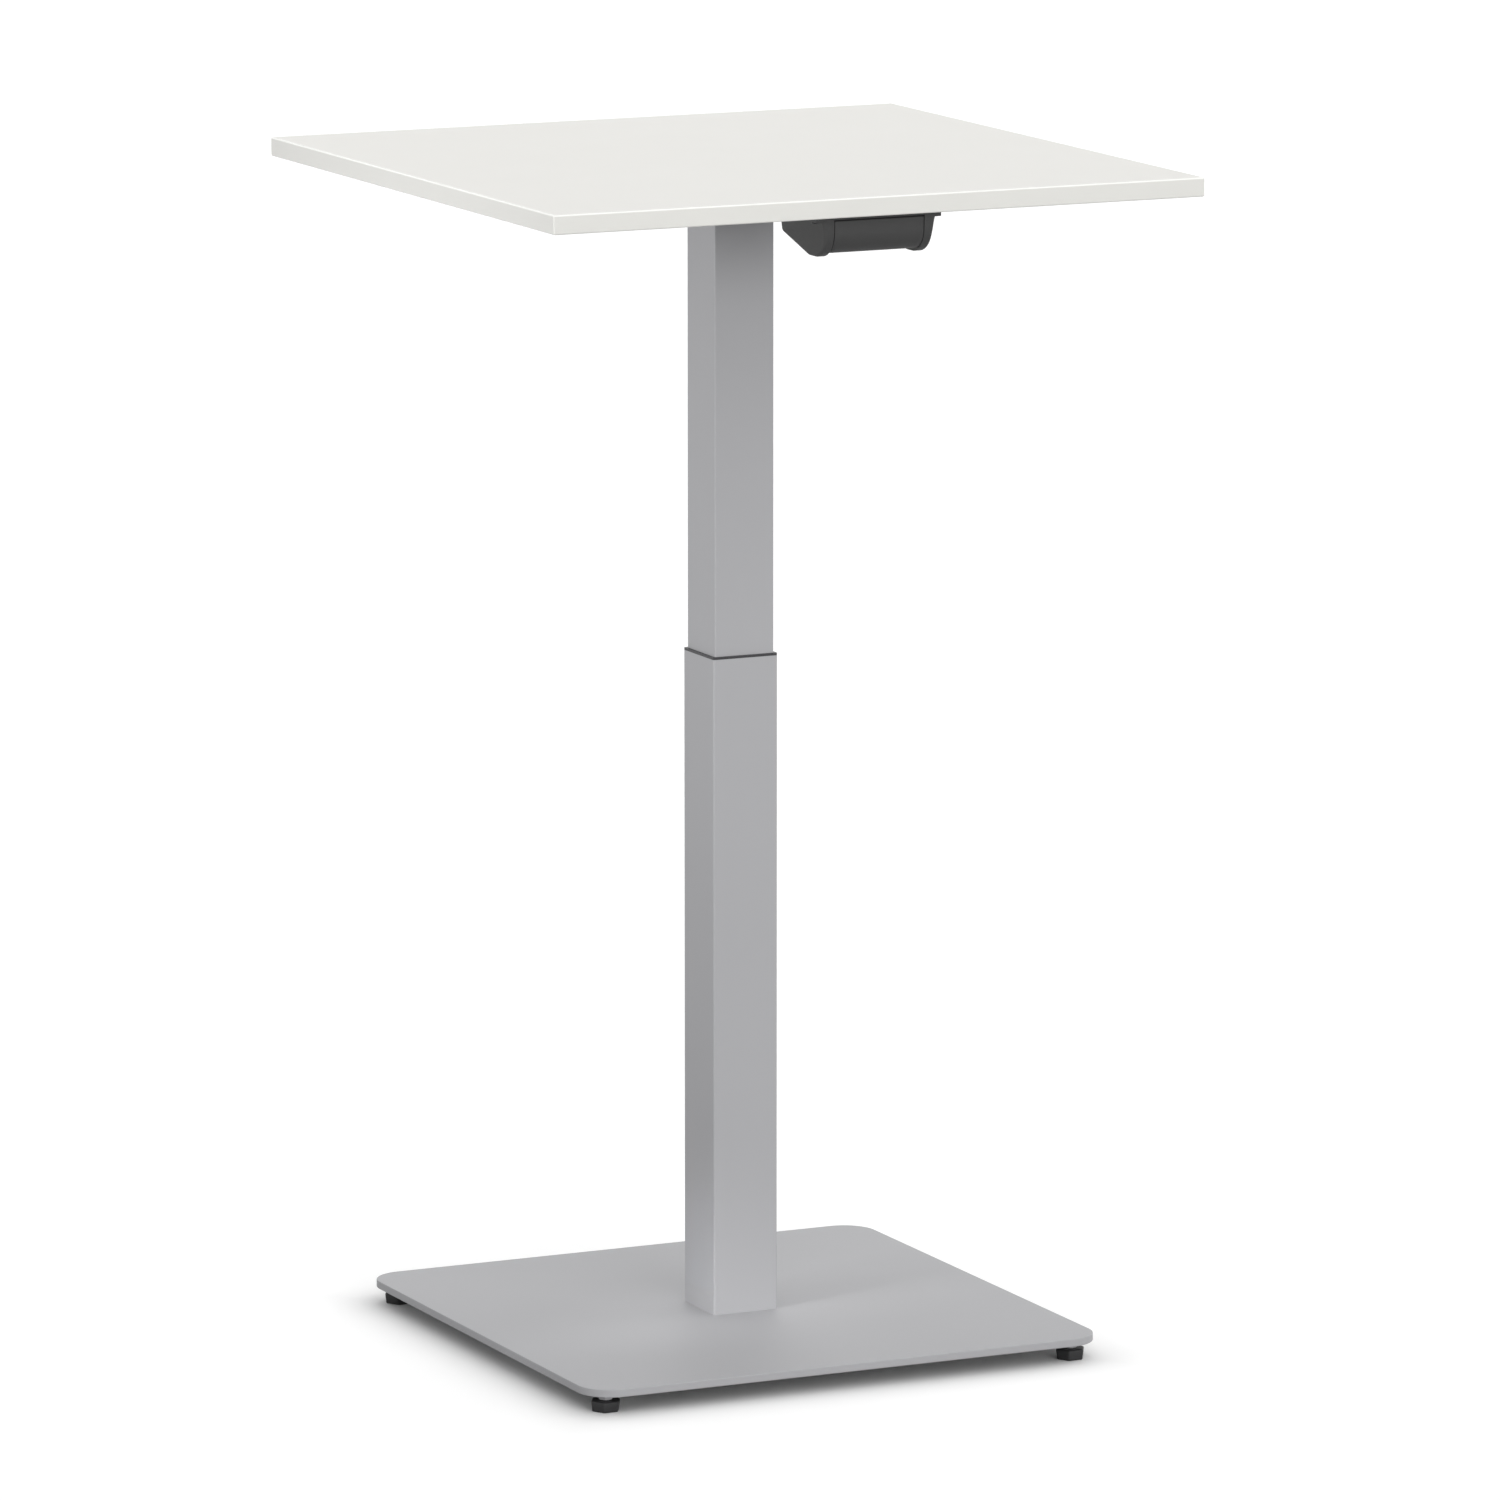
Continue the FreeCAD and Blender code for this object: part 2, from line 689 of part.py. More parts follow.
def make_gas_cylinder():
    keep(ring("gas_cylinder", S.cylinder_radius, cylinder_bore, S.cylinder_length, 0, 0, cylinder_low))
    disc = bar("plug_disc", cylinder_bore - S.seat_gap, S.plug_thickness, 0, 0, cylinder_low)
    stud_length = S.cylinder_nut_height + S.plug_stud_bite
    stud = bar("plug_stud", S.plug_stud_radius, stud_length, 0, 0, cylinder_low - stud_length)
    keep(fuse("cylinder_end_plug", [disc, stud]))
    keep(drilled_nut("cylinder_lock_nut", S.cylinder_nut_flats, S.cylinder_nut_height,
                     S.plug_stud_radius + S.seat_gap, 0, 0, cylinder_low - S.cylinder_nut_height))
    keep(ring("rod_guide", cylinder_bore - S.seat_gap, S.rod_radius + S.fit_gap, S.gland_length,
              0, 0, gland_low))
    keep(ring("rod_seal", cylinder_bore - S.seat_gap, S.rod_radius + S.fit_gap, S.seal_height,
              0, 0, gland_low - S.seal_height))


def make_piston_rod():
    keep(ring("piston_rod", S.rod_radius, S.valve_pin_radius + S.fit_gap, rod_top - piston_low,
              0, 0, piston_low))
    groove_low = piston_low + (S.piston_height - S.piston_seal_height) / 2
    blank = ring("piston_blank", cylinder_bore - S.slide_gap, S.rod_radius + S.seat_gap, S.piston_height,
                 0, 0, piston_low)
    seal_bore = cylinder_bore - S.piston_seal_depth
    groove = ring("piston_groove", cylinder_bore + S.overrun, seal_bore, S.piston_seal_height,
                  0, 0, groove_low)
    keep(cut("piston", blank, [groove]))
    keep(ring("piston_seal", cylinder_bore - S.fit_gap, seal_bore + S.seat_gap,
              S.piston_seal_height - 2 * S.seat_gap, 0, 0, groove_low + S.seat_gap))
    keep(drilled_nut("rod_lock_nut", S.rod_nut_flats, S.rod_nut_height, S.rod_radius + S.seat_gap,
                     0, 0, anchor_top - S.anchor_thickness - S.rod_nut_height))
    pin_low = piston_low + S.valve_pin_seat
    keep(bar("valve_pin", S.valve_pin_radius, pin_top - pin_low, 0, 0, pin_low))


# Release head on the anchor plate: two ears, a crank between them, and its pin

def make_release_head():
    half = S.head_width / 2
    ear_low = S.crank_width / 2 + S.crank_side_gap
    ear_high = ear_low + S.head_ear_thickness
    front, back = S.crank_nose - S.head_ear_half, S.crank_nose + S.head_ear_half
    ear_top = crank_height + S.head_ear_half
    pieces = [block("head_base_block", (-half, -S.head_front, anchor_top), (half, back, rod_top)),
              block("ear_left", (-ear_high, front, anchor_top), (-ear_low, back, ear_top)),
              block("ear_right", (ear_low, front, anchor_top), (ear_high, back, ear_top))]
    pin_half = ear_high + S.lever_pin_stand
    rod_hole = bar("head_rod_hole", S.rod_radius + S.seat_gap, S.head_base + 2 * S.overrun,
                   0, 0, anchor_top - S.overrun)
    pin_hole = bar("head_pin_hole", S.lever_pin_radius + S.fit_gap, 2 * pin_half,
                   -pin_half, S.crank_nose, crank_height, "x")
    keep(cut("release_head", fuse("head_blank", pieces), [rod_hole, pin_hole]))
    keep(bar("lever_pin", S.lever_pin_radius, 2 * pin_half, -pin_half, S.crank_nose, crank_height, "x"))


def make_crank():
    """Hub on the pin, a nose forward over the valve pin, and an arm up to the wire, slotted for it."""
    half = S.crank_width / 2
    arm_front, arm_back = S.crank_nose - S.crank_arm_half, S.crank_nose + S.crank_arm_half
    arm_top = cable_height + S.crank_arm_over
    hub = bar("crank_hub", S.hub_radius, S.crank_width, -half, S.crank_nose, crank_height, "x")
    nose = bar("crank_nose_round", S.nose_radius, S.crank_width, -half, 0, crank_height, "x")
    web = block("crank_web", (-half, 0, crank_height - S.nose_radius),
                (half, S.crank_nose, crank_height + S.nose_radius))
    arm = block("crank_upright", (-half, arm_front, crank_height), (half, arm_back, arm_top))
    bore = bar("crank_bore", S.lever_pin_radius + S.fit_gap, S.crank_width + 2 * S.overrun,
               -half - S.overrun, S.crank_nose, crank_height, "x")
    slot = block("crank_slot", (-S.wire_slot_half, arm_front - S.overrun, cable_height - S.wire_slot_room),
                 (S.wire_slot_half, arm_back + S.overrun, arm_top + S.overrun))
    keep(cut("release_crank", fuse("crank_blank", [hub, nose, web, arm]), [bore, slot]))


# Release cable: a wire with cast ends, in a sheath that runs straight from the handle to the column

def make_wire():
    rear_low = S.crank_nose + S.crank_arm_half + S.wire_slack
    front_low = paddle_arm_front - S.wire_slack - S.nipple_length
    length = rear_low + S.nipple_length - front_low
    strand = bar("wire_strand", S.wire_radius, length, 0, front_low, cable_height, "y")
    ends = [bar(f"wire_end_{name}", S.nipple_radius, S.nipple_length, 0, y, cable_height, "y")
            for name, y in (("front", front_low), ("rear", rear_low))]
    keep(fuse("cable_wire", [strand] + ends))


def make_sheath():
    front_low = duct_front + S.duct_wall
    rear_high = inner_front + S.tube_wall
    rear_low = rear_high - S.ferrule_length
    bore = S.sheath_radius + S.fit_gap
    cup_depth = S.ferrule_length - S.ferrule_end
    start, end = front_low + S.ferrule_end, rear_high - S.ferrule_end
    keep(ring("cable_sheath", S.sheath_radius, S.sheath_bore, end - start, 0, start, cable_height, "y"))
    front = ring("front_ferrule_blank", S.ferrule_radius, S.sheath_bore, S.ferrule_length,
                 0, front_low, cable_height, "y")
    front_cup = bar("front_ferrule_cup", bore, cup_depth + S.overrun, 0, start, cable_height, "y")
    keep(cut("cable_ferrule_front", front, [front_cup]))
    rim = ring("rear_ferrule_rim", S.ferrule_rim_radius, S.sheath_bore, S.ferrule_rim,
               0, inner_front - S.ferrule_rim, cable_height, "y")
    stem = ring("rear_ferrule_stem", S.ferrule_radius, S.sheath_bore, S.ferrule_length,
                0, rear_low, cable_height, "y")
    rear_cup = bar("rear_ferrule_cup", bore, cup_depth + S.overrun,
                   0, rear_low - S.overrun, cable_height, "y")
    keep(cut("cable_ferrule_rear", fuse("rear_ferrule_blank", [rim, stem]), [rear_cup]))


def make_clips():
    """Saddles that hang the sheath under the worktop, each with an ear for its screw."""
    saddle_low = cable_height - S.sheath_radius - S.clip_under
    ear_low = worktop_low - S.clip_ear_thickness
    clips = []
    for (name, y), (_, screw_x, _) in zip(clip_places(), clip_screw_places()):
        low_y, high_y = y - S.clip_length / 2, y + S.clip_length / 2
        saddle = block(f"saddle_{name}", (-S.clip_half_width, low_y, saddle_low),
                       (S.clip_half_width, high_y, worktop_low))
        ear = block(f"saddle_ear_{name}", (0, low_y, ear_low),
                    (S.clip_half_width + S.clip_ear, high_y, worktop_low))
        bore = bar(f"saddle_bore_{name}", S.sheath_radius + S.fit_gap, S.clip_length + 2 * S.overrun,
                   0, low_y - S.overrun, cable_height, "y")
        hole = bar(f"saddle_hole_{name}", S.small_screw_radius + S.seat_gap,
                   S.clip_ear_thickness + 2 * S.overrun, screw_x, y, ear_low - S.overrun)
        clips.append(cut(f"clip_{name}", fuse(f"clip_blank_{name}", [saddle, ear]), [bore, hole]))
    keep(group("cable_clips", clips))


# Release handle under the front edge

def make_cheek(name, across):
    """A side cheek: upright front, full round nose, and an underside that climbs to the back."""
    outline = [
        (handle_front, worktop_low, 0),
        (handle_front, worktop_low - S.handle_drop, S.handle_nose_round),
        (handle_front + S.handle_chin, worktop_low - S.handle_drop, S.handle_chin_round),
        (handle_back, worktop_low - S.handle_back_drop, S.handle_back_round),
        (handle_back, worktop_low, 0),
    ]
    outside = S.cheek_thickness if across > 0 else as_size(0)
    low_x = cheek_inside if across > 0 else -S.handle_width / 2
    cheek = profile(f"cheek_{name}", "YZ_Plane", [outline], S.cheek_thickness, x=low_x)
    top = worktop_low.value
    return round_body(cheek, S.cheek_edge_round, lambda box: box.XLength < SAME and box.ZMin < top - SAME
                      and abs(box.XMin - outside.value) < SAME)


def make_housing():
    half = S.handle_width / 2 + S.flange_overhang
    flange_low = worktop_low - S.flange_thickness
    flange = block("handle_flange", (-half, handle_front, flange_low), (half, handle_back, worktop_low))
    ear_low = worktop_low - S.handle_ear_thickness
    ears = []
    for name, across in SIDES.items():
        low_x, high_x = sorted((half * across, cheek_inside * across), key=lambda length: length.value)
        ears.append(block(f"handle_ear_{name}", (low_x, handle_front, ear_low),
                          (high_x, handle_back, worktop_low)))
    duct = block("handle_duct", (-S.duct_half_width, duct_front, worktop_low - S.duct_drop),
                 (S.duct_half_width, handle_back, worktop_low))
    cheeks = [make_cheek(name, across) for name, across in SIDES.items()]
    pin_half = cheek_inside + S.paddle_pin_seat
    tools = [bar("housing_pin_hole", S.paddle_pin_radius + S.fit_gap, 2 * pin_half,
                 -pin_half, pivot_y, pivot_height, "x")]
    tools.append(bar("duct_bore", S.ferrule_radius + S.fit_gap, S.handle_depth,
                     0, duct_front + S.duct_wall, cable_height, "y"))
    tools.append(bar("duct_wire_hole", S.wire_slot_half, S.duct_wall + 2 * S.overrun,
                     0, duct_front - S.overrun, cable_height, "y"))
    tools += [bar(f"flange_hole_{name}", S.small_screw_radius + S.seat_gap,
                  S.handle_ear_thickness + 2 * S.overrun, x, y, ear_low - S.overrun)
              for name, x, y in handle_screw_places()]
    keep(cut("handle_housing", fuse("housing_blank", [flange, duct] + ears + cheeks), tools))
    keep(bar("paddle_pin", S.paddle_pin_radius, 2 * pin_half, -pin_half, pivot_y, pivot_height, "x"))


def make_paddle():
    """A J-shaped bar that hangs from a barrel on the pin, with an arm behind it that draws the wire."""
    half = cheek_inside - S.paddle_side_gap
    face = pivot_y - S.paddle_barrel_radius
    lip_low = worktop_low - S.paddle_drop
    outline = [
        (face, pivot_height + S.paddle_rise, 0),
        (face, lip_low, S.paddle_nose_round),
        (face + S.paddle_lip, lip_low, S.paddle_lip_round),
        (face + S.paddle_lip, lip_low + S.paddle_wall, S.paddle_lip_round),
        (face + S.paddle_wall, lip_low + S.paddle_wall, S.paddle_nose_round - S.paddle_wall),
        (face + S.paddle_wall, pivot_height + S.paddle_rise, 0),
    ]
    shell = profile("paddle_shell", "YZ_Plane", [outline], 2 * half, x=-half)
    barrel = bar("paddle_barrel", S.paddle_barrel_radius, 2 * half, -half, pivot_y, pivot_height, "x")
    arm_back = paddle_arm_front + S.paddle_arm_thickness
    arm_low = cable_height - S.paddle_arm_under
    web = block("paddle_web", (-S.paddle_arm_half, pivot_y, pivot_height - S.paddle_web_half),
                (S.paddle_arm_half, arm_back, pivot_height + S.paddle_web_half))
    arm = block("paddle_arm", (-S.paddle_arm_half, paddle_arm_front, arm_low),
                (S.paddle_arm_half, arm_back, pivot_height))
    bore = bar("paddle_bore", S.paddle_pin_radius + S.fit_gap, 2 * half + 2 * S.overrun,
               -half - S.overrun, pivot_y, pivot_height, "x")
    slot = block("paddle_slot", (-S.wire_slot_half, paddle_arm_front - S.overrun, arm_low - S.overrun),
                 (S.wire_slot_half, arm_back + S.overrun, cable_height + S.wire_slot_room))
    keep(cut("paddle", fuse("paddle_blank", [shell, barrel, web, arm]), [bore, slot]))


make_base_plate()
make_column_bolts()
for place_name, place_x, place_y in foot_places:
    make_foot(place_name, place_x, place_y)
make_outer_column()
make_guide_collar()
make_inner_column()
make_mounting_plate()
make_worktop()
make_screws()
make_gas_cylinder()
make_piston_rod()
make_release_head()
make_crank()
make_wire()
make_sheath()
make_clips()
make_housing()
make_paddle()
doc.recompute()

# Nothing is written unless every object is sound
faults = [item.Name for item in doc.Objects if {"Invalid", "Error"} & set(item.State)]
faults += [node.Label for node in nodes if node.Shape.isNull() or not node.Shape.isValid()]
if faults:
    raise RuntimeError(f"these objects failed: {faults}")
os.makedirs("parts", exist_ok=True)
for node in nodes:
    node.Shape.exportStep(f"parts/{node.Label}.step")
    print(f"{node.Label}: {len(node.Shape.Solids)} solids, {node.Shape.Volume:.0f} cubic millimetres")
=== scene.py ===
# %% [markdown]
# # A one-column table that goes up and down, dressed for its picture
# The solids of the table arrive already packed: every piece at its real size, in metres, with +Z up and the
# floor at zero. This lesson gives them their finishes, adds the small shapes that solids leave out, and sets
# up a plain studio. Nothing here moves a solid, but a finer piece may stand for it.

# %% Load the frame
import json
import math

import bmesh
import bpy
import numpy as np
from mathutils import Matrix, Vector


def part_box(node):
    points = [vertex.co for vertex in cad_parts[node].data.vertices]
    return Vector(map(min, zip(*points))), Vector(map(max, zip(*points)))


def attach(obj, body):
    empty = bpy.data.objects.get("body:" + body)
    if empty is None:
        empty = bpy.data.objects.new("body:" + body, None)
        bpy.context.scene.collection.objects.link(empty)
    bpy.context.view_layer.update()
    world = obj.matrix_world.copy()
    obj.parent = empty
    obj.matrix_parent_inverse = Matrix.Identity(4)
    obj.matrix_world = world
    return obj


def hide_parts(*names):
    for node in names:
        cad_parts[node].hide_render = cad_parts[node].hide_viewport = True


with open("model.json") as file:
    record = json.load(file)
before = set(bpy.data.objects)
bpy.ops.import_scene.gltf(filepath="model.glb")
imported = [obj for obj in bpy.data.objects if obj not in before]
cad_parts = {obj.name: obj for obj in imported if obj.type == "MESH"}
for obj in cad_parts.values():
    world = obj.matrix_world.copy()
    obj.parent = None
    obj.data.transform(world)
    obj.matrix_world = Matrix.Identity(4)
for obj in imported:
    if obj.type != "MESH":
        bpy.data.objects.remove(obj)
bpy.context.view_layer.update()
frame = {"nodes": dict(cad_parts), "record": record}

nodes = frame["nodes"]

# %% [markdown]
# ## Wires between shader nodes
# A material in Blender is a small circuit of nodes. It can be drawn by hand in the editor, but a recipe that
# is read later is clearer as arithmetic. So one class holds a socket, and adding or multiplying two of these
# wires adds the Math node that does it.

# %% One socket as a Python value
class Wire:
    """A socket of a material; sums, differences and products of wires add Math nodes beside it."""

    def __init__(self, tree, socket=None):
        self.tree = tree
        self.socket = socket

    def node(self, kind, settings=None, inputs=None, output=0):
        """Adds a node: its settings first, then a value or a wire for each input. Gives one output."""
        made = self.tree.nodes.new(kind)
        for name, value in (settings or {}).items():
            setattr(made, name, value)
        for name, value in (inputs or {}).items():
            if isinstance(value, Wire):
                self.tree.links.new(value.socket, made.inputs[name])
            else:
                made.inputs[name].default_value = value
        return Wire(self.tree, made.outputs[output])

    def math(self, operation, first, second):
        """Adds a Math node for two values or wires."""
        return self.node("ShaderNodeMath", {"operation": operation}, {0: first, 1: second})

    def __add__(self, other):
        return self.math("ADD", self, other)

    __radd__ = __add__

    def __sub__(self, other):
        return self.math("SUBTRACT", self, other)

    def __rsub__(self, other):
        return self.math("SUBTRACT", other, self)

    def __mul__(self, other):
        return self.math("MULTIPLY", self, other)

    __rmul__ = __mul__

    def into(self, target, name):
        """Ends the wire in a named input of a shader, a background or an output."""
        self.tree.links.new(self.socket, target.inputs[name])


def srgb(red, green, blue):
    """A screen colour from 0 to 255 as a linear colour: a straight line near black, a power above."""
    knee, slope, lift, power = 0.04045, 12.92, 0.055, 2.4
    screen = np.array([red, green, blue]) / 255
    linear = np.where(screen <= knee, screen / slope, ((screen + lift) / (1 + lift)) ** power)
    return (*linear.tolist(), 1.0)


print("a screen grey of 128 is", round(srgb(128, 128, 128)[0], 3), "in linear light")

# %% [markdown]
# ## Parts of a finish
# Real finishes differ in three ways over a few millimetres: their colour drifts, their gloss drifts, and
# their surface has a fine relief. Photographs of each finish would show that too, but a noise pattern in the
# object's own coordinates has no seams, needs no unwrapping, and keeps its true size on every piece.

# %% Helpers for finishes
MM = 0.001
finishes = {}


def new_finish(name, constants):
    """A material whose constant sockets are set; gives it, its shader and a wire to grow nodes from."""
    material = bpy.data.materials.new(name)
    material.use_nodes = True
    shader = material.node_tree.nodes["Principled BSDF"]
    for socket, value in constants.items():
        shader.inputs[socket].default_value = value
    return material, shader, Wire(material.node_tree)


def place_in_object(start, stretch=(1, 1, 1)):
    """The object's own coordinates in metres, each axis times its stretch."""
    place = start.node("ShaderNodeTexCoord", output="Object")
    return start.node("ShaderNodeMapping", inputs={"Vector": place, "Scale": stretch})


def lumps(where, size, detail=2.0):
    """Soft noise from 0 to 1 whose lumps are about one size across, in metres."""
    return where.node("ShaderNodeTexNoise", inputs={"Vector": where, "Scale": 1 / size, "Detail": detail})


def chips(where, size, output="Distance"):
    """Cells of about one size across: the distance to each cell's heart, or a colour for each cell."""
    return where.node("ShaderNodeTexVoronoi", inputs={"Vector": where, "Scale": 1 / size}, output=output)


def tint(share, first, second):
    """The first colour where the share is 0, the second where it is 1."""
    return share.node("ShaderNodeMix", {"data_type": "RGBA"}, {0: share, 6: first, 7: second}, output=2)


def climb_between(value, low, high, first=0.0, last=1.0):
    """Goes smoothly from a first level to a last one while the value goes from low to high."""
    return value.node("ShaderNodeMapRange", {"interpolation_type": "SMOOTHSTEP"},
                      {"Value": value, "From Min": low, "From Max": high, "To Min": first, "To Max": last})


def relief(height, depth, strength):
    """A normal that leans as if the height, from 0 to 1, stood that depth in metres."""
    return height.node("ShaderNodeBump", inputs={"Height": height, "Distance": depth, "Strength": strength})


def fill(shader, **wires):
    """Leads a wire into each named socket of a shader, where an underscore in a name stands for a space."""
    for name, wire in wires.items():
        wire.into(shader, name.replace("_", " "))


def keep_finish(slot, material):
    """Files a finish under its slot in the record, and says how large its circuit is."""
    finishes[slot] = material
    print(slot, "is a finish of", len(material.node_tree.nodes), "shader nodes")


# %% [markdown]
# ## Powder coat
# The base plate and both tubes are sprayed with dry paint that melts in an oven. It is a satin silver grey
# with a fine orange peel of about a millimetre and a half. A plain grey shader would look like paper, so the
# peel bends the normal and shifts the gloss, and grit and a slow drift shift the grey.

# %% Powder coat
material, shader, start = new_finish("powder_coat", {"Metallic": 0.0, "IOR": 1.5})
where = place_in_object(start)
peel = lumps(where, 1.6 * MM)
grit = lumps(where, 0.5 * MM, detail=1.0)
drift = lumps(where, 300 * MM)
fill(shader, Base_Color=tint(0.5 * grit + 0.5 * drift, srgb(156, 156, 158.5), srgb(166, 166, 168.5)),
     Roughness=0.52 + 0.14 * peel, Normal=relief(peel + 0.4 * grit, depth=0.06 * MM, strength=0.35))
keep_finish("powder_coated_steel", material)

# %% [markdown]
# ## Laminate
# The top is a warm off-white melamine sheet with a fine pearl texture that shows where light grazes it. One
# flat colour would look like card, so two noises, one as fine as the pearl and one as wide as a hand, shift
# the tone by a few levels.

# %% Laminate
material, shader, start = new_finish("laminate", {"IOR": 1.5, "Specular IOR Level": 0.35})
where = place_in_object(start)
pearl = lumps(where, 1.1 * MM, detail=3.0)
cloud = lumps(where, 90 * MM)
fill(shader, Base_Color=tint(0.6 * pearl + 0.4 * cloud, srgb(218, 217, 212.5), srgb(223, 222, 218)),
     Roughness=0.5 + 0.12 * pearl, Normal=relief(pearl, depth=0.03 * MM, strength=0.3))
keep_finish("laminate", material)

# %% [markdown]
# ## Edge band
# The plastic band on each edge is a touch smoother than the top. It is scraped flush along its length in the
# factory, which leaves very faint lines, so its noise is stretched along the edge. Its upper rim gets a
# painted
# highlight: a paler colour in a mask by height over its last millimetre and a half, where a bevel would catch
# the light.

# %% Edge band
def edge_band(name, along):
    """Scraped along one axis, given by its number; the mask of the painted highlight climbs to 1 just under
    the top of the band.
    """
    material, shader, start = new_finish(name, {"IOR": 1.5})
    stretch = [1.0, 1.0, 1.0]
    stretch[along] = 0.02
    where = place_in_object(start)
    scrape = lumps(place_in_object(start, stretch), 0.7 * MM, detail=3.0)
    cloud = lumps(where, 50 * MM)
    height = where.node("ShaderNodeSeparateXYZ", inputs={0: where}, output="Z")
    band_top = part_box("edge_band_front")[1][2]
    # painted highlight: the band's top rim is made paler just under its top, where its rounding would catch
    # light
    painted_highlight = climb_between(height, band_top - 1.6 * MM, band_top - 0.9 * MM)
    flat = tint(0.5 * scrape + 0.5 * cloud, srgb(216, 215.5, 211), srgb(222, 221.5, 217))
    fill(shader, Base_Color=tint(painted_highlight, flat, srgb(238, 237.5, 234)),
         Roughness=0.12 + 0.1 * scrape + 0.1 * painted_highlight, Normal=relief(scrape, depth=0.02 * MM, strength=0.25))
    return material


keep_finish("edge_band", edge_band("edge_band_across", 0))
side_band = edge_band("edge_band_along", 1)

# %% [markdown]
# ## Board core
# Inside the top is particle board: pressed wood chips of one to four millimetres. It shows only where a
# screw hole is cut. Modelling chips would be wasted there, so Voronoi cells give each chip its own brown.

# %% Board core
material, shader, start = new_finish("board_core", {"Roughness": 0.85})
chip = chips(place_in_object(start), 3 * MM, "Color")
brightness = chip.node("ShaderNodeRGBToBW", inputs={0: chip})
fibre = lumps(place_in_object(start, (1.0, 0.2, 1.0)), 0.8 * MM, detail=3.0)
fill(shader, Base_Color=tint(0.6 * brightness + 0.4 * fibre, srgb(150, 118, 80), srgb(214, 186, 142)),
     Normal=relief(fibre, depth=0.2 * MM, strength=0.6))
keep_finish("board_core", material)

# %% [markdown]
# ## Moulded plastics
# The handle is charcoal plastic from a spark-eroded mould: a matt grain of about half a millimetre. The feet,
# clips, guides and cable sheath have the same kind of grain in other strengths, and so have the rubber seals
# and the blackened screws. So one recipe serves all, each with its own colours, grain and gloss.

# %% Moulded plastics
def moulded_plastic(name, dark, light, grain, roughness, depth):
    """Grain in metres sets the size of the mould's texture, and depth how deep it stands."""
    material, shader, start = new_finish(name, {"IOR": 1.46, "Specular IOR Level": 0.28})
    where = place_in_object(start)
    pits = chips(where, grain)
    cloud = lumps(where, 20 * MM)
    fill(shader, Base_Color=tint(0.55 * pits + 0.45 * cloud, srgb(*dark), srgb(*light)),
         Roughness=roughness + 0.14 * pits, Normal=relief(pits, depth, strength=0.5))
    return material


grained = [
    # slot, darkest and lightest colour, grain, roughness, depth
    ("charcoal_plastic", (52, 52, 52), (63, 63, 63), 0.6 * MM, 0.56, 0.05 * MM),
    ("black_plastic", (38, 38, 39), (52, 52, 53), 0.9 * MM, 0.34, 0.04 * MM),
    ("guide_plastic", (48, 48, 50), (60, 60, 62), 1.2 * MM, 0.34, 0.02 * MM),
    ("sheath_plastic", (26, 26, 26), (36, 36, 36), 1.5 * MM, 0.36, 0.02 * MM),
    ("blackened_steel", (30, 30, 31), (44, 44, 46), 0.8 * MM, 0.3, 0.01 * MM),
    ("seal_rubber", (18, 18, 18), (28, 28, 28), 1.0 * MM, 0.55, 0.03 * MM),
]
for row in grained:
    keep_finish(row[0], moulded_plastic(*row))

# %% [markdown]
# ## Zinc plate
# Screws and pins are zinc plated, with the faint blue and straw tints of the passivated layer. One grey would
# hide that, so wide stains go from one tint to the other.

# %% Zinc plate
material, shader, start = new_finish("zinc_plate", {"Metallic": 1.0})
where = place_in_object(start)
stain = lumps(where, 6 * MM, detail=3.0)
grain = lumps(where, 0.6 * MM)
fill(shader, Base_Color=tint(stain, srgb(196, 202, 214), srgb(222, 216, 198)),
     Roughness=0.24 + 0.2 * grain, Normal=relief(grain, depth=0.03 * MM, strength=0.3))
keep_finish("bare_steel", material)

# %% [markdown]
# ## Cast aluminium
# The release head and its crank are cast in sand. The sand's grain could be modelled, but a relief in the
# finish takes no faces.

# %% Cast aluminium
material, shader, start = new_finish("cast_aluminium", {"Metallic": 1.0})
where = place_in_object(start)
sand = lumps(where, 0.7 * MM, detail=3.0)
stain = lumps(where, 9 * MM)
fill(shader, Base_Color=tint(0.5 * sand + 0.5 * stain, srgb(176, 178, 181), srgb(208, 209, 211)),
     Roughness=0.36 + 0.2 * sand, Normal=relief(sand, depth=0.1 * MM, strength=0.5))
keep_finish("cast_aluminium", material)

# %% [markdown]
# ## Chrome and gloss black
# The gas spring has a hard chromed rod in a gloss black cylinder. Polishing marks around the rod and a slight
# peel under the clear coat keep both from looking like glass.

# %% Chrome and gloss black
material, shader, start = new_finish("hard_chrome", {"Metallic": 1.0})
polish = lumps(place_in_object(start, (1.0, 1.0, 12.0)), 4 * MM)
fill(shader, Base_Color=tint(polish, srgb(220, 222, 226), srgb(236, 238, 240)),
     Roughness=0.06 + 0.07 * polish)
keep_finish("chromed_rod", material)
material, shader, start = new_finish("gloss_black", {"Coat Weight": 0.6, "Coat Roughness": 0.08})
peel = lumps(place_in_object(start), 2 * MM)
fill(shader, Base_Color=tint(peel, srgb(20, 20, 21), srgb(30, 30, 31)),
     Roughness=0.22 + 0.1 * peel, Normal=relief(peel, depth=0.04 * MM, strength=0.3))
keep_finish("black_painted_steel", material)

# %% [markdown]
# ## Dress the solids
# The record lists which finish each solid has. Reading it here keeps one list for both, and the left and
# right edge bands take a twin of the band's finish that runs front to back.

# %% Dress the solids
finish_of = {row["node"]: finishes[row["material_slot"]] for row in frame["record"]["subparts"]}
finish_of.update({"edge_band_left": side_band, "edge_band_right": side_band})
for node_name, finish in finish_of.items():
    nodes[node_name].data.materials.clear()
    nodes[node_name].data.materials.append(finish)
print("dressed", len(finish_of), "solids in", len(finishes) + 1, "finishes")

# %% [markdown]
# ## Surfaces from arrays
# The finer pieces are worked out as arrays: a shape is a grid of points, one row after another, and each
# square of the grid becomes a face. A row may close on itself, as around a screw, and a first or last row may
# shrink to one point. Repeated points are merged after that, so every piece is one closed skin.

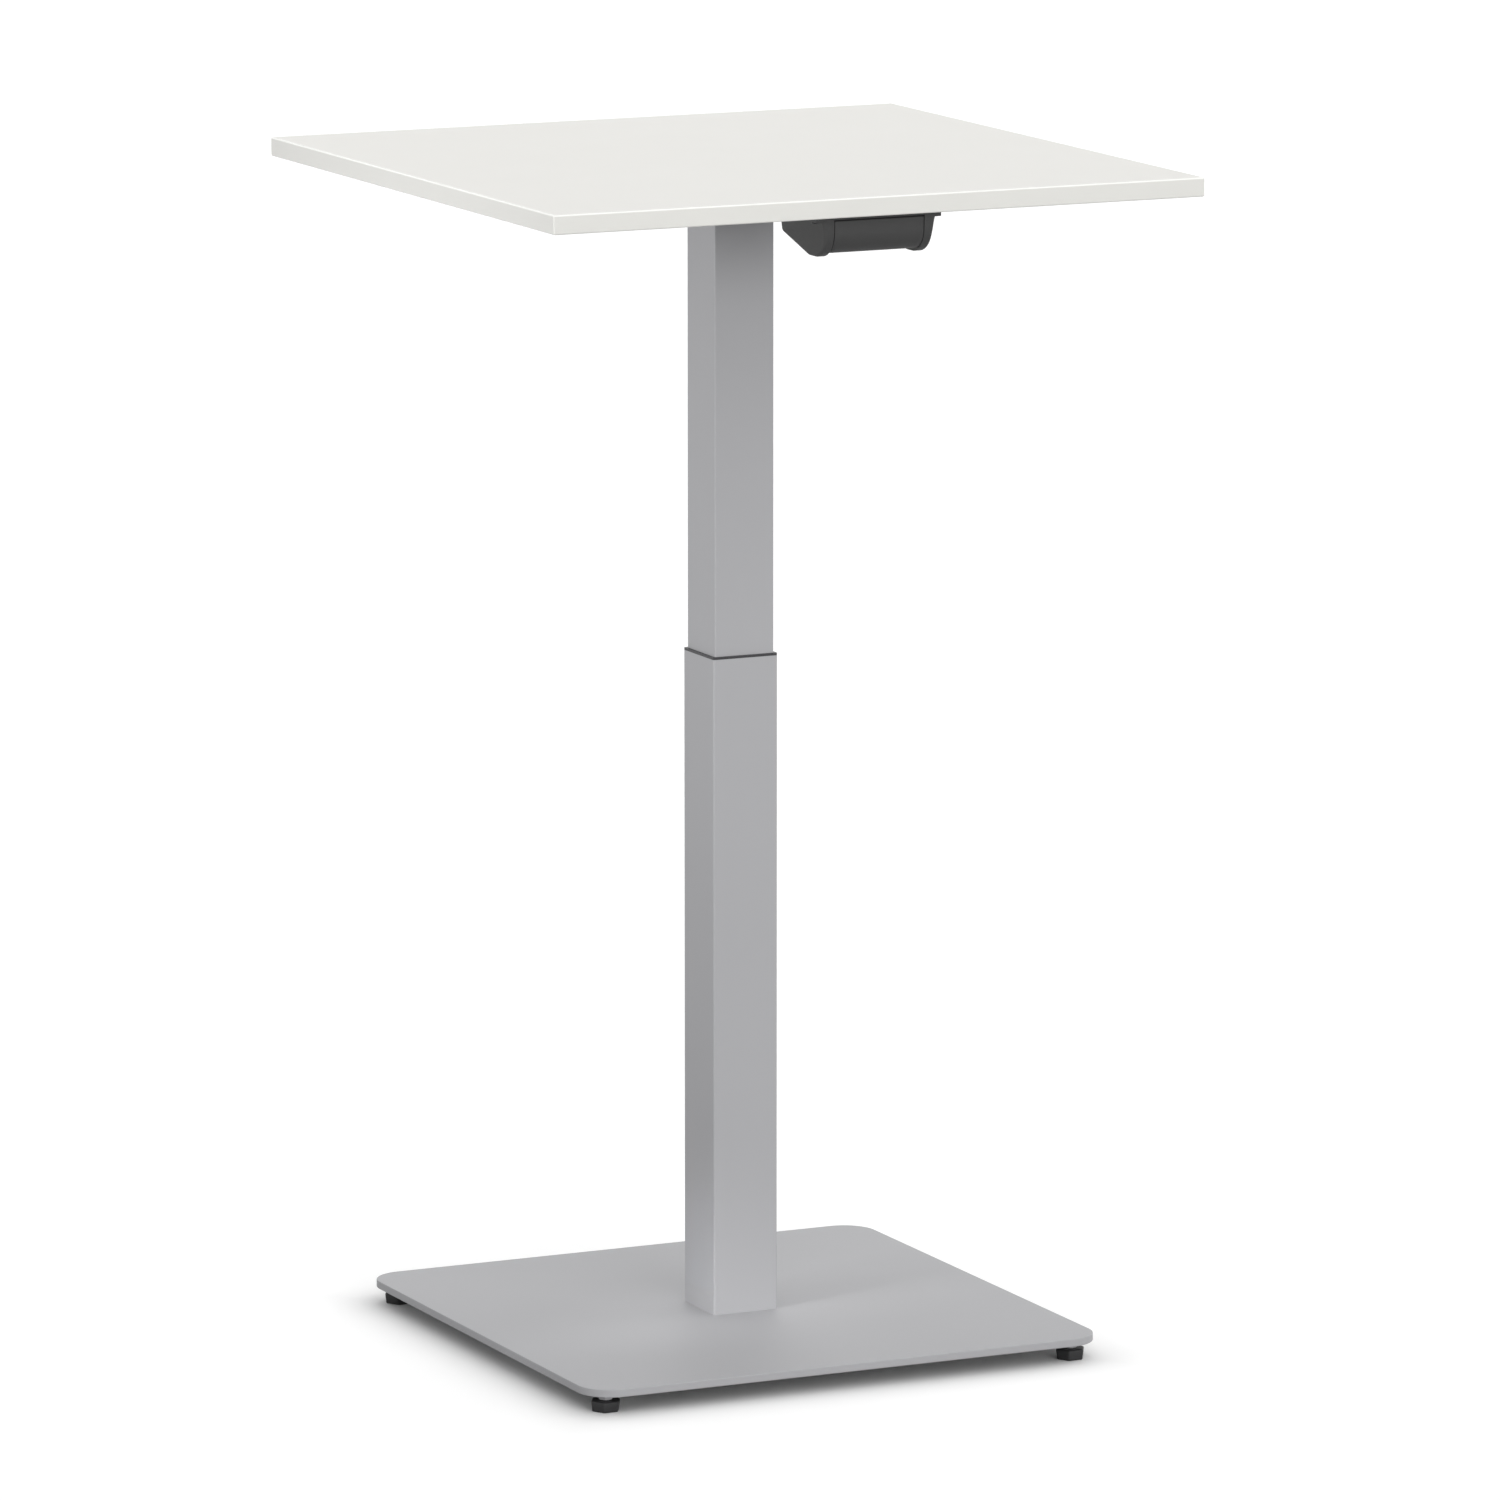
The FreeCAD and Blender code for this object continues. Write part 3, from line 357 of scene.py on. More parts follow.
# %% From grids to pieces
def grid_faces(rows, columns, close_rows=False):
    """Quads of a grid whose columns close into a ring: a point, its neighbour and the two after them."""
    last_row = rows if close_rows else rows - 1
    row, column = np.meshgrid(np.arange(last_row), np.arange(columns), indexing="ij")
    next_row, next_column = (row + 1) % rows, (column + 1) % columns
    corners = [row * columns + column, row * columns + next_column,
               next_row * columns + next_column, next_row * columns + column]
    return np.stack([corner.ravel() for corner in corners], axis=1)


def merge_points(mesh, distance, outwards=False):
    """Merges points nearer than a distance, drops the faces that this empties, and may turn all outwards."""
    work = bmesh.new()
    work.from_mesh(mesh)
    bmesh.ops.remove_doubles(work, verts=work.verts, dist=distance)
    bmesh.ops.dissolve_degenerate(work, edges=work.edges, dist=distance)
    if outwards:
        bmesh.ops.recalc_face_normals(work, faces=work.faces)
    work.to_mesh(mesh)
    work.free()


def shell_mesh(name, grids, close_rows=False):
    """A mesh of closed skins, one for each grid of points (rows, columns, 3), with all faces outwards."""
    mesh = bpy.data.meshes.new(name)
    counts = np.cumsum([0] + [grid.shape[0] * grid.shape[1] for grid in grids])
    faces = [grid_faces(*grid.shape[:2], close_rows) + count for grid, count in zip(grids, counts)]
    points = np.concatenate([grid.reshape(-1, 3) for grid in grids])
    mesh.from_pydata(points.tolist(), [], np.concatenate(faces).tolist())
    merge_points(mesh, 0.0001 * MM, outwards=True)
    return mesh


def add_object(name, data):
    """Puts a mesh, a lamp or a camera into the scene."""
    item = bpy.data.objects.new(name, data)
    bpy.context.scene.collection.objects.link(item)
    return item


def show_piece(name, mesh, body, slot, *stands_for, sharp=40):
    """Adds a mesh as a piece on a body, smooth but for edges over an angle, in the finish of its slot."""
    mesh.shade_smooth()
    mesh.set_sharp_from_angle(angle=math.radians(sharp))
    mesh.materials.clear()
    mesh.materials.append(finishes[slot])
    piece = add_object(name, mesh)
    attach(piece, body)
    if stands_for:
        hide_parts(*stands_for)
    print(name, "has", len(mesh.polygons), "faces")


# %% [markdown]
# ## Outlines
# Many moulded and cut pieces start as an outline with rounded corners. A corner is rounded by an arc that
# touches both sides, and then the outline is walked at even steps, so that a rim can be rolled around it.
# Blender's bevel could round the rims too, but it would need a clean mesh first.

# %% Outlines with round corners
def rounded(corners, radii, arc_points=16):
    """Each corner of a closed outline, run to the left, becomes an arc about a point on its inside.

    The arc starts the radius times the tangent of half the turn before the corner, and its points stand
    one radius from its middle, at even angles.
    """
    corners = np.array(corners, dtype=float)
    radii = np.array(radii, dtype=float)[:, None]
    into = corners - np.roll(corners, 1, axis=0)
    into /= np.linalg.norm(into, axis=1, keepdims=True)
    out = np.roll(into, -1, axis=0)
    turn = np.arctan2(into[:, 0] * out[:, 1] - into[:, 1] * out[:, 0], (into * out).sum(axis=1))[:, None]
    left = np.stack([-into[:, 1], into[:, 0]], axis=1)
    middle = corners - into * radii * np.tan(turn / 2) + left * radii
    angle = turn * np.linspace(0, 1, arc_points)
    arc = (middle[:, None] - (left * radii)[:, None] * np.cos(angle)[..., None]
           + (into * radii)[:, None] * np.sin(angle)[..., None])
    return arc.reshape(-1, 2)


def trough(half_width, low, high, low_round, high_round):
    """The outline of a trough about the middle line: a box with wide rounds below and small ones above."""
    return rounded([(-half_width, low), (half_width, low), (half_width, high), (-half_width, high)],
                   [low_round, low_round, high_round, high_round])


def walked(outline, steps):
    """The closed outline at even steps along its length, and the outward direction at each step."""
    ring = np.vstack([outline, outline[:1]])
    length = np.concatenate([[0], np.cumsum(np.linalg.norm(np.diff(ring, axis=0), axis=1))])
    along = np.linspace(0, length[-1], steps, endpoint=False)
    points = np.stack([np.interp(along, length, ring[:, axis]) for axis in (0, 1)], axis=1)
    tangent = np.roll(points, -1, axis=0) - np.roll(points, 1, axis=0)
    tangent /= np.linalg.norm(tangent, axis=1, keepdims=True)
    return points, np.stack([tangent[:, 1], -tangent[:, 0]], axis=1)


def slab(outline, low, high, low_rim, high_rim, steps=240, rim_points=7):
    """A plate of an outline between two heights, its two rims rolled over.

    Row by row: the middle of the low side, the outline drawn in by the rim, the rim's quarter circle out to
    the full outline, then the same back to the middle of the high side. Gives (rows, steps, 3) points.
    """
    points, outward = walked(outline, steps)
    quarter = np.linspace(0, math.pi / 2, rim_points)
    inward, rise = 1 - np.sin(quarter), 1 - np.cos(quarter)
    inset = np.concatenate([low_rim * inward, high_rim * inward[::-1]])
    heights = np.concatenate([[low], low + low_rim * rise, high - high_rim * rise[::-1], [high]])
    middle = np.broadcast_to(points.mean(axis=0), (1, steps, 2))
    rows = np.concatenate([middle, points[None] - inset[:, None, None] * outward[None], middle])
    return np.concatenate([rows, np.broadcast_to(heights[:, None, None], (len(heights), steps, 1))], axis=2)


# %% [markdown]
# ## Joining and cutting skins
# A moulded part is one skin, though it is easiest to describe as a few simple bodies. Bodies that only
# overlap would show seams, so Blender's Boolean modifier joins them and cuts the holes. Its result is kept
# as a plain mesh, in which every edge should lie between two faces.

# %% Joining and cutting
def faces_at_edges(mesh):
    """How many faces meet at each edge of a mesh."""
    edge_of_loop = np.empty(len(mesh.loops), dtype=np.int32)
    mesh.loops.foreach_get("edge_index", edge_of_loop)
    return np.bincount(edge_of_loop, minlength=len(mesh.edges))


def carved(name, bodies, holes):
    """One mesh: the bodies joined together, then the holes cut out of them."""
    items = [add_object(f"{name}_{step}", mesh) for step, mesh in enumerate(bodies + holes)]
    for step, item in enumerate(items[1:], start=1):
        modifier = items[0].modifiers.new(f"step_{step}", "BOOLEAN")
        modifier.operation = "UNION" if step < len(bodies) else "DIFFERENCE"
        modifier.solver = "EXACT"
        modifier.object = item
    mesh = bpy.data.meshes.new_from_object(items[0].evaluated_get(bpy.context.evaluated_depsgraph_get()))
    for item in items:
        bpy.data.objects.remove(item)
    merge_points(mesh, 0.001 * MM)
    open_edges = np.count_nonzero(faces_at_edges(mesh) != 2)
    print(name, "carved from", len(bodies), "bodies and", len(holes), "holes,", open_edges, "open edges")
    return mesh


# %% [markdown]
# ## Round bodies and soft blocks
# Bars and barrels are turned: a profile swung around an axis. Blocks are slabs of a rounded square. Blender
# has its own cylinder and cube, but these come with soft rims.

# %% Round bodies and soft blocks
def full_turn(steps):
    """Even angles around a circle; the last stops one step short of the first."""
    return np.linspace(0, 2 * math.pi, steps, endpoint=False)


def turned(radii, heights, steps=48, axis=2, place=(0, 0, 0)):
    """A body of revolution: each radius swung once around an axis at its height, closed at both ends."""
    angle = full_turn(steps)
    radii, heights = np.array(radii), np.array(heights)
    across, up = np.outer(radii, np.cos(angle)), np.outer(radii, np.sin(angle))
    along = np.broadcast_to(heights[:, None], across.shape)
    order = {0: (along, across, up), 1: (up, along, across), 2: (across, up, along)}[axis]
    return np.stack(order, axis=2) + np.array(place)


def plain_bar(name, radius, low, high, axis, place):
    """A round bar, for a cut or a barrel, from one height to another along an axis."""
    bar = turned([0, radius, radius, 0], [low, low, high, high], steps=40, axis=axis, place=place)
    return shell_mesh(name, [bar])


def soft_block(name, low, high, round_edge, rim):
    """A block with its upright edges and its top and bottom rims rounded."""
    (x0, y0, z0), (x1, y1, z1) = low, high
    outline = rounded([(x0, y0), (x1, y0), (x1, y1), (x0, y1)], [round_edge] * 4, arc_points=8)
    return shell_mesh(name, [slab(outline, z0, z1, rim, rim, steps=120, rim_points=5)])


# %% [markdown]
# ## Sizes of the handle
# The release handle is one plastic moulding screwed under the front edge: two cheeks with a round nose, a
# thin plate between them, an ear with screws on each side, and a duct for the cable. Its sizes start from the
# boxes of the solids, so that it stays on them.

# %% Sizes of the handle
housing_low, housing_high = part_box("handle_housing")
paddle_low, paddle_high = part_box("paddle")
ferrule_low, ferrule_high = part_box("cable_ferrule_front")
front, back, top = housing_low[1], housing_high[1], housing_high[2]
cable_height = (ferrule_low[2] + ferrule_high[2]) / 2
side_gap, cheek_thickness = 0.5 * MM, 9.5 * MM
cheek_in = paddle_high[0] + side_gap
cheek_out = cheek_in + cheek_thickness
ear_thickness, plate_thickness = 5 * MM, 3 * MM
ear_low = top - ear_thickness
print("the handle's cheeks stand", round(2 * cheek_in / MM, 1), "mm apart")

# %% [markdown]
# ## Handle moulding
# The cheeks widen towards the ears as moulded parts do, and all rims are rolled, which is what catches the
# light on the real one. Slabs give such rims at once.

# %% Handle moulding
def cheek_mesh(name, side):
    """The cheek's outline in the (Y, Z) plane made a slab along X; its outer side widens with the square of
    the height above where the flare starts."""
    nose_round, chin_round, back_round = 27 * MM, 12 * MM, 5 * MM
    chin, back_drop = 40 * MM, 24 * MM
    flare, flare_height = 3 * MM, 22 * MM
    outer_rim, inner_rim = 3 * MM, 0.4 * MM
    top_round = outer_rim * 1.1
    low = housing_low[2]
    outline = rounded([(front, top), (front, low), (front + chin, low), (back, top - back_drop), (back, top)],
                      [top_round, nose_round, chin_round, back_round, top_round])
    grid = slab(outline, cheek_in, cheek_out, inner_rim, outer_rim, steps=300, rim_points=9)
    y, z, x = grid[..., 0], grid[..., 1], grid[..., 2]
    outer_share = (x - cheek_in) / (cheek_out - cheek_in)
    climb = np.clip((z - (ear_low - flare_height)) / flare_height, 0, 1)
    x = x + outer_share * flare * climb ** 2
    return shell_mesh(name, [np.stack([side * x, y, z], axis=2)])


def handle_plates():
    """The thin plate between the cheeks, then the two ears, each from within a cheek outwards."""
    overlap = 2 * MM
    plates = [soft_block("handle_plate", (-cheek_out, front, top - plate_thickness), (cheek_out, back, top),
                         round_edge=0.8 * MM, rim=0.4 * MM)]
    for side in (-1, 1):
        x_low, x_high = sorted((side * (cheek_in + overlap), side * housing_high[0]))
        plates.append(soft_block(f"ear_{side}", (x_low, front, ear_low), (x_high, back, top),
                                 round_edge=1.5 * MM, rim=0.7 * MM))
    return plates


def cable_duct():
    """The duct, a trough in the (X, Z) plane made a slab along Y, and the two bores that go into it."""
    half_width, depth, front_wall = 6 * MM, 21 * MM, 3 * MM
    rim, clearance, wire_bore, past = 0.6 * MM, 0.05 * MM, 1.4 * MM, 2 * MM
    duct_front = ferrule_low[1] - front_wall
    outline = trough(half_width, top - depth, top, low_round=4.5 * MM, high_round=0.8 * MM)
    grid = slab(outline, -back, -duct_front, rim, rim, steps=140, rim_points=5)
    duct = shell_mesh("duct", [np.stack([grid[..., 0], -grid[..., 2], grid[..., 1]], axis=2)])
    ferrule_bore = (ferrule_high[2] - ferrule_low[2]) / 2 + clearance
    cable = (0, 0, cable_height)
    bores = [plain_bar("duct_bore", ferrule_bore, ferrule_low[1], back + past, axis=1, place=cable),
             plain_bar("wire_hole", wire_bore, duct_front - past, ferrule_low[1] + MM, axis=1, place=cable)]
    return duct, bores


cheeks = [cheek_mesh("cheek_left", -1), cheek_mesh("cheek_right", 1)]
duct, duct_bores = cable_duct()
handle = carved("handle_moulding", cheeks + handle_plates() + [duct], duct_bores)
show_piece("handle_moulding", handle, "lift", "charcoal_plastic", "handle_housing")

# %% [markdown]
# ## Bent strips
# The paddle is a strip bent like the letter J. Bending a flat mesh would stretch its rims. So a middle line
# is carried across the width, and the thickness fades to nothing at the rims as a half round.

# %% Bent strips
def rim_positions(length, rim, inner_points, rim_points=7):
    """Places along a length, closer together in both rims, and how full the thickness is at each: the sine of
    an angle that runs a quarter turn across the rim."""
    quarter = np.linspace(0, math.pi / 2, rim_points)
    start = rim * (1 - np.cos(quarter))
    inner = np.linspace(rim, length - rim, inner_points)[1:-1]
    return (np.concatenate([start, inner, length - start[::-1]]),
            np.concatenate([np.sin(quarter), np.ones(len(inner)), np.sin(quarter[::-1])]))


def bent_strip(line, half_width, thickness, end_rim, side_rim):
    """The strip: each point of the middle line is moved across by X and stands off by half the thickness
    times the fullness of both rims, on its front and on its back. Both skins meet at the rim."""
    length = np.concatenate([[0], np.cumsum(np.linalg.norm(np.diff(line, axis=0), axis=1))])
    along, along_full = rim_positions(length[-1], end_rim, inner_points=90)
    across, across_full = rim_positions(2 * half_width, side_rim, inner_points=24)
    middle = np.stack([np.interp(along, length, line[:, axis]) for axis in (0, 1)], axis=1)
    tangent = np.gradient(middle, along, axis=0)
    tangent /= np.linalg.norm(tangent, axis=1, keepdims=True)
    normal = np.stack([tangent[:, 1], -tangent[:, 0]], axis=1)
    stand = np.outer(along_full, across_full)[..., None] * thickness / 2
    x = np.broadcast_to((across - half_width)[None, :, None], stand.shape)
    face, back_face = (np.concatenate([x, middle[:, None] + side * stand * normal[:, None]], axis=2)
                       for side in (1, -1))
    return np.concatenate([face, back_face[:, ::-1]], axis=1)


# %% [markdown]
# ## Paddle
# Fingers reach behind this bar and draw it forward. It goes down the front, round the nose, and back under to
# a lip. A barrel for its hinge pin and a fork that pulls the cable are joined to it as one moulding.

# %% Paddle
pin_low, pin_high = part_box("paddle_pin")
pin_depth, pin_height = (pin_low[1] + pin_high[1]) / 2, (pin_low[2] + pin_high[2]) / 2
paddle_half = paddle_high[0]
pin_place = (0, pin_depth, pin_height)


def paddle_strip():
    """The middle line runs down the face, a quarter circle around the nose, and back to the lip."""
    wall, nose, lip, above_pin = 3.5 * MM, 22 * MM, 33.5 * MM, 3.6 * MM
    face, lip_height = paddle_low[1] + wall / 2, paddle_low[2] + wall / 2
    turn = nose - wall / 2
    angle = np.linspace(0, math.pi / 2, 40)
    bend = np.stack([face + turn * (1 - np.cos(angle)), lip_height + turn * (1 - np.sin(angle))], axis=1)
    line = np.vstack([[(face, pin_height + above_pin)], bend, [(paddle_low[1] + lip, lip_height)]])
    return shell_mesh("strip", [bent_strip(line, paddle_half, wall, end_rim=0.9 * MM, side_rim=0.4 * MM)])


def paddle_barrel():
    """A bar along X with softened ends, in short rings so that no face is long and thin."""
    radius, soften = 4.2 * MM, 0.5 * MM
    rings = np.linspace(soften - paddle_half, paddle_half - soften, 28)
    radii = [0, radius - soften, *np.full(len(rings), radius), radius - soften, 0]
    along = [-paddle_half, -paddle_half, *rings, paddle_half, paddle_half]
    return shell_mesh("barrel", [turned(radii, along, axis=0, place=pin_place)])


def paddle_fork():
    """A web back from the barrel, and a prong down from it on each side of the cable's wire."""
    arm_front, arm_back, arm_half = pin_depth + 9.5 * MM, pin_depth + 13.5 * MM, 5 * MM
    web_half, prong_drop, slot_half, inset = 2.8 * MM, 4.5 * MM, 1.4 * MM, 0.3 * MM
    prong_half, prong_back = arm_half - inset, arm_back - inset
    softness = {"round_edge": 0.8 * MM, "rim": 0.6 * MM}
    web = soft_block("web", (-arm_half, pin_depth, pin_height - web_half),
                     (arm_half, arm_back, pin_height + web_half), **softness)
    prongs = [soft_block(f"prong_{low}", (low, arm_front, cable_height - prong_drop),
                         (high, prong_back, pin_height), **softness)
              for low, high in ((-prong_half, -slot_half), (slot_half, prong_half))]
    return [web, *prongs]


pin_bore = plain_bar("pin_bore", 2.05 * MM, -paddle_half - MM, paddle_half + MM, axis=0, place=pin_place)
paddle = carved("paddle_bar", [paddle_strip(), paddle_barrel(), *paddle_fork()], [pin_bore])
show_piece("paddle_bar", paddle, "paddle", "charcoal_plastic", "paddle")

# %% [markdown]
# ## Feet
# Four moulded hexagons stand on the floor. A drawn hexagon has hard corners; here the distance to all six
# sides is blended, which rounds the corners as a mould does.

# %% Feet
def hexagon_radius(angle, flat_radius, sharpness):
    """How far a soft hexagon reaches at an angle: the flat's distance over the blended cosines to its three
    pairs of sides, where a high sharpness brings the corners out."""
    sides = np.stack([np.abs(np.cos(angle - turn)) for turn in np.radians([30, 90, 150])])
    return flat_radius / (sides ** sharpness).sum(axis=0) ** (1 / sharpness)


def around_line(middle, angle, reach, heights):
    """Points at a reach from an upright line: one row for each height, one column for each angle."""
    return np.stack([middle[0] + reach * np.cos(angle), middle[1] + reach * np.sin(angle),
                     np.broadcast_to(heights[:, None], reach.shape)], axis=2)


def foot_grid(low, high):
    """A soft hexagon on a profile: narrow at the sole, wide at the crown, rolled at both rims, with a shallow
    well on top. The hexagon fades to a circle towards the middle line."""
    middle, height = (low + high) / 2, high[2] - low[2]
    sole, crown, well = 12.8 * MM, 13.8 * MM, 6 * MM
    sole_roll, crown_roll, well_depth = 0.8 * MM, 1.6 * MM, 0.4 * MM
    angle, quarter = full_turn(96), np.linspace(0, math.pi / 2, 7)
    radius = np.concatenate([[0], sole - sole_roll * (1 - np.sin(quarter)),
                             crown - crown_roll * (1 - np.cos(quarter)), [well, well - well_depth, 0]])
    rise = np.concatenate([[0], sole_roll * (1 - np.cos(quarter)),
                           height - crown_roll * (1 - np.sin(quarter)),
                           [height, height - well_depth, height - well_depth]])
    share = np.clip(radius / sole, 0, 1)[:, None]
    hexagon = np.outer(radius, hexagon_radius(angle, 1, sharpness=26))
    reach = (1 - share) * radius[:, None] + share * hexagon
    return around_line(middle, angle, reach, low[2] + rise)


# %% [markdown]
# ## Studs
# Each foot has a stud with an M8 thread. A helix cut out of a bar would take far more faces, so the thread
# is a ridge in the stud's own skin that climbs one pitch in each turn and fades at both ends.

# %% Studs
def stud_grid(low, high):
    """The radius falls by a triangle wave of the height over the pitch less the turn."""
    middle, radius = (low + high) / 2, (high[0] - low[0]) / 2
    pitch, depth = 1.25 * MM, 0.65 * MM
    angle, heights = full_turn(32), np.linspace(low[2], high[2], 150)
    climb = heights[:, None] - low[2]
    wave = np.abs((climb / pitch - angle / (2 * math.pi)) % 1 * 2 - 1)
    taper = np.clip(np.minimum(climb, high[2] - heights[:, None]) / pitch, 0, 1)
    reach = radius - depth * (1 - taper * (1 - wave))
    pole = np.zeros((1, len(angle)))
    return around_line(middle, angle, np.concatenate([pole, reach, pole]),
                       np.concatenate([heights[:1], heights, heights[-1:]]))


# %% [markdown]
# ## Nuts
# The studs turn in nuts that are welded under the plate and painted with it. A nut's corners are cut by a
# cone at each end, and taking the smaller reach of hexagon and cone gives that without any cutting.

# %% Nuts
def nut_grid(low, high, bore):
    """Rows up the outside, then down the bore, which opens at both ends; the last row meets the first."""
    middle, flat, height = (low + high) / 2, (high[1] - low[1]) / 2, high[2] - low[2]
    cone_start, cone_slope, mouth = 0.98 * flat, 1.7, bore + 0.6 * MM
    angle = full_turn(96)
    outer_share = np.array([0, 0.06, 0.12, 0.2, 0.8, 0.88, 0.94, 1])
    bore_share, bore_reach = np.array([1, 0.92, 0.08, 0]), np.array([mouth, bore, bore, mouth])
    cone = cone_start + np.minimum(outer_share, 1 - outer_share) * height * cone_slope
    outer = np.minimum(hexagon_radius(angle, flat, sharpness=60), cone[:, None])
    inner = np.broadcast_to(bore_reach[:, None], (len(bore_reach), len(angle)))
    heights = low[2] + np.concatenate([outer_share, bore_share]) * height
    return around_line(middle, angle, np.concatenate([outer, inner]), heights)


# %% [markdown]
# ## Put feet, studs and nuts in place
# Each foot travels with its stud; the nut stays with the plate. One loop over the solids' boxes serves all.

# %% Put feet, studs and nuts in place
nut_bore = 4.05 * MM
for corner in ("front_left", "front_right", "rear_left", "rear_right"):
    foot = shell_mesh(f"foot_{corner}", [foot_grid(*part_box(f"levelling_foot_{corner}"))])
    show_piece(f"soft_foot_{corner}", foot, f"foot_{corner}", "black_plastic", f"levelling_foot_{corner}")
    stud = shell_mesh(f"stud_{corner}", [stud_grid(*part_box(f"foot_stud_{corner}"))])
    show_piece(f"threaded_stud_{corner}", stud, f"foot_{corner}", "bare_steel", f"foot_stud_{corner}")
    nut = shell_mesh(f"nut_{corner}", [nut_grid(*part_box(f"weld_nut_{corner}"), nut_bore)], close_rows=True)
    show_piece(f"chamfered_nut_{corner}", nut, "base", "powder_coated_steel", f"weld_nut_{corner}", sharp=25)

# %% [markdown]
# ## Screws under the top
# The screws of the mounting plate, the handle and the clips have low round heads with a cross recess. The
# recess could be cut with a Boolean; it is simpler as a hollow in the height of a turned head, deepest in
# the middle, whose outline is a cross with soft edges.

# %% One screw
def cross_hollow(x, y, reach, width, softness):
    """1 in a cross of two bars, 0 outside, by the smaller of the distances to the bars over the softness."""
    first = np.maximum(np.abs(x) - reach, np.abs(y) - width / 2)
    second = np.maximum(np.abs(y) - reach, np.abs(x) - width / 2)
    return np.clip(0.5 - np.minimum(first, second) / softness, 0, 1)


def screw_grid(x, y, seat, head_radius, head_height, shank_radius, shank_top):
    """A screw driven upwards: a domed head below the seat with a cross in it, then the shank to its point.
    The dome drops as a circle does, and the cross is sunk less towards the rim."""
    dome_share, cross_share, shank_point = 0.28, 0.62, 2 * shank_radius
    rim_radius, rim_drop = np.array([0.985, 1, 1]) * head_radius, np.array([0.62, 0.45, 0]) * head_height
    inner = np.linspace(0, 0.94, 22) * head_radius
    dome = head_height * (1 - dome_share + dome_share * np.sqrt(1 - (inner / head_radius) ** 2))
    radius = np.concatenate([inner, rim_radius, [shank_radius] * 2, [0]])
    drop = np.concatenate([dome, rim_drop, [0, seat - shank_top + shank_point, seat - shank_top]])
    angle = full_turn(64)
    across, deep = np.outer(radius, np.cos(angle)), np.outer(radius, np.sin(angle))
    hollow = cross_hollow(across, deep, reach=0.55 * head_radius, width=0.26 * head_radius,
                          softness=0.25 * MM)
    hollow[len(inner):] = 0
    sunk = cross_share * head_height * hollow * (1 - 0.5 * radius[:, None] / head_radius)
    return np.stack([x + across, y + deep, seat - drop[:, None] + sunk], axis=2)


# %% [markdown]
# ## All screws
# The solids' boxes say where the screws are: the outermost heads touch the sides of their box.

# %% All screws
def show_screws(name, node, slot, head_radius, head_height, shank_radius, with_middles=False):
    """Screws where a node has them: one head radius in from the corners of its box, and between if asked."""
    low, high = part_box(node)
    x_pair = np.array([low[0] + head_radius, high[0] - head_radius])
    y_pair = np.array([low[1] + head_radius, high[1] - head_radius])
    places = {(round(x, 6), round(y, 6)) for x in x_pair for y in y_pair}
    if with_middles:
        places |= {(x, y_pair.mean()) for x in x_pair} | {(x_pair.mean(), y) for y in y_pair}
    grids = [screw_grid(x, y, low[2] + head_height, head_radius, head_height, shank_radius, high[2])
             for x, y in sorted(places)]
    show_piece(name, shell_mesh(name, grids), "lift", slot, node, sharp=35)


large = {"head_radius": 4.5 * MM, "head_height": 3 * MM, "shank_radius": 2.5 * MM}
small = {"head_radius": 3.5 * MM, "head_height": 2.2 * MM, "shank_radius": 2 * MM}
show_screws("top_screws", "worktop_screws", "bare_steel", **large, with_middles=True)
show_screws("ear_screws", "handle_screws", "blackened_steel", **small)
show_screws("saddle_screws", "clip_screws", "blackened_steel", **small)

# %% [markdown]
# ## Cable clips
# Two moulded saddles hold the cable sheath under the top, each with one ear for its screw. A saddle is a
# trough drawn out along the cable, the ear is a soft block beside it, and one long bore through both saddles
# makes room for the sheath.

# %% Cable clips
def clip_meshes(y_low, y_high, low, high):
    """A saddle and its ear: the saddle's outline, a trough in the (X, Z) plane, made a slab along Y."""
    rim, ear_thickness, ear_inset, ear_gap = 0.8 * MM, 3 * MM, 0.4 * MM, 0.05 * MM
    outline = trough(-low[0], low[2], high[2], low_round=5.2 * MM, high_round=0.9 * MM)
    grid = slab(outline, y_low, y_high, rim, rim, steps=120, rim_points=5)
    saddle = shell_mesh("saddle", [grid[..., [0, 2, 1]]])
    ear = soft_block("clip_ear", (0, y_low + ear_inset, high[2] - ear_thickness),
                     (high[0], y_high - ear_inset, high[2] - ear_gap), round_edge=4 * MM, rim=0.7 * MM)
    return [saddle, ear]


def cable_clips():
    """A clip at each end of the node's box, and the sheath's bore through both."""
    length, clearance = 10 * MM, 0.05 * MM
    low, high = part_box("cable_clips")
    sheath_low, sheath_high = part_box("cable_sheath")
    front_clip = clip_meshes(low[1], low[1] + length, low, high)
    rear_clip = clip_meshes(high[1] - length, high[1], low, high)
    radius = (sheath_high[0] - sheath_low[0]) / 2 + clearance
    bore = plain_bar("sheath_bore", radius, low[1] - MM, high[1] + MM, axis=1,
                     place=(0, 0, (sheath_low[2] + sheath_high[2]) / 2))
    return carved("saddle_clips", front_clip + rear_clip, [bore])


show_piece("saddle_clips", cable_clips(), "lift", "black_plastic", "cable_clips")

# %% [markdown]
# ## Weld under the top
# The plate that carries the top is welded to the tube all around. A hand-laid bead is a row of small
# crescents. A plain quarter round would look like sealant, so the section's reach rises and falls every few
# millimetres, a little later at the bead's rims than in its middle.

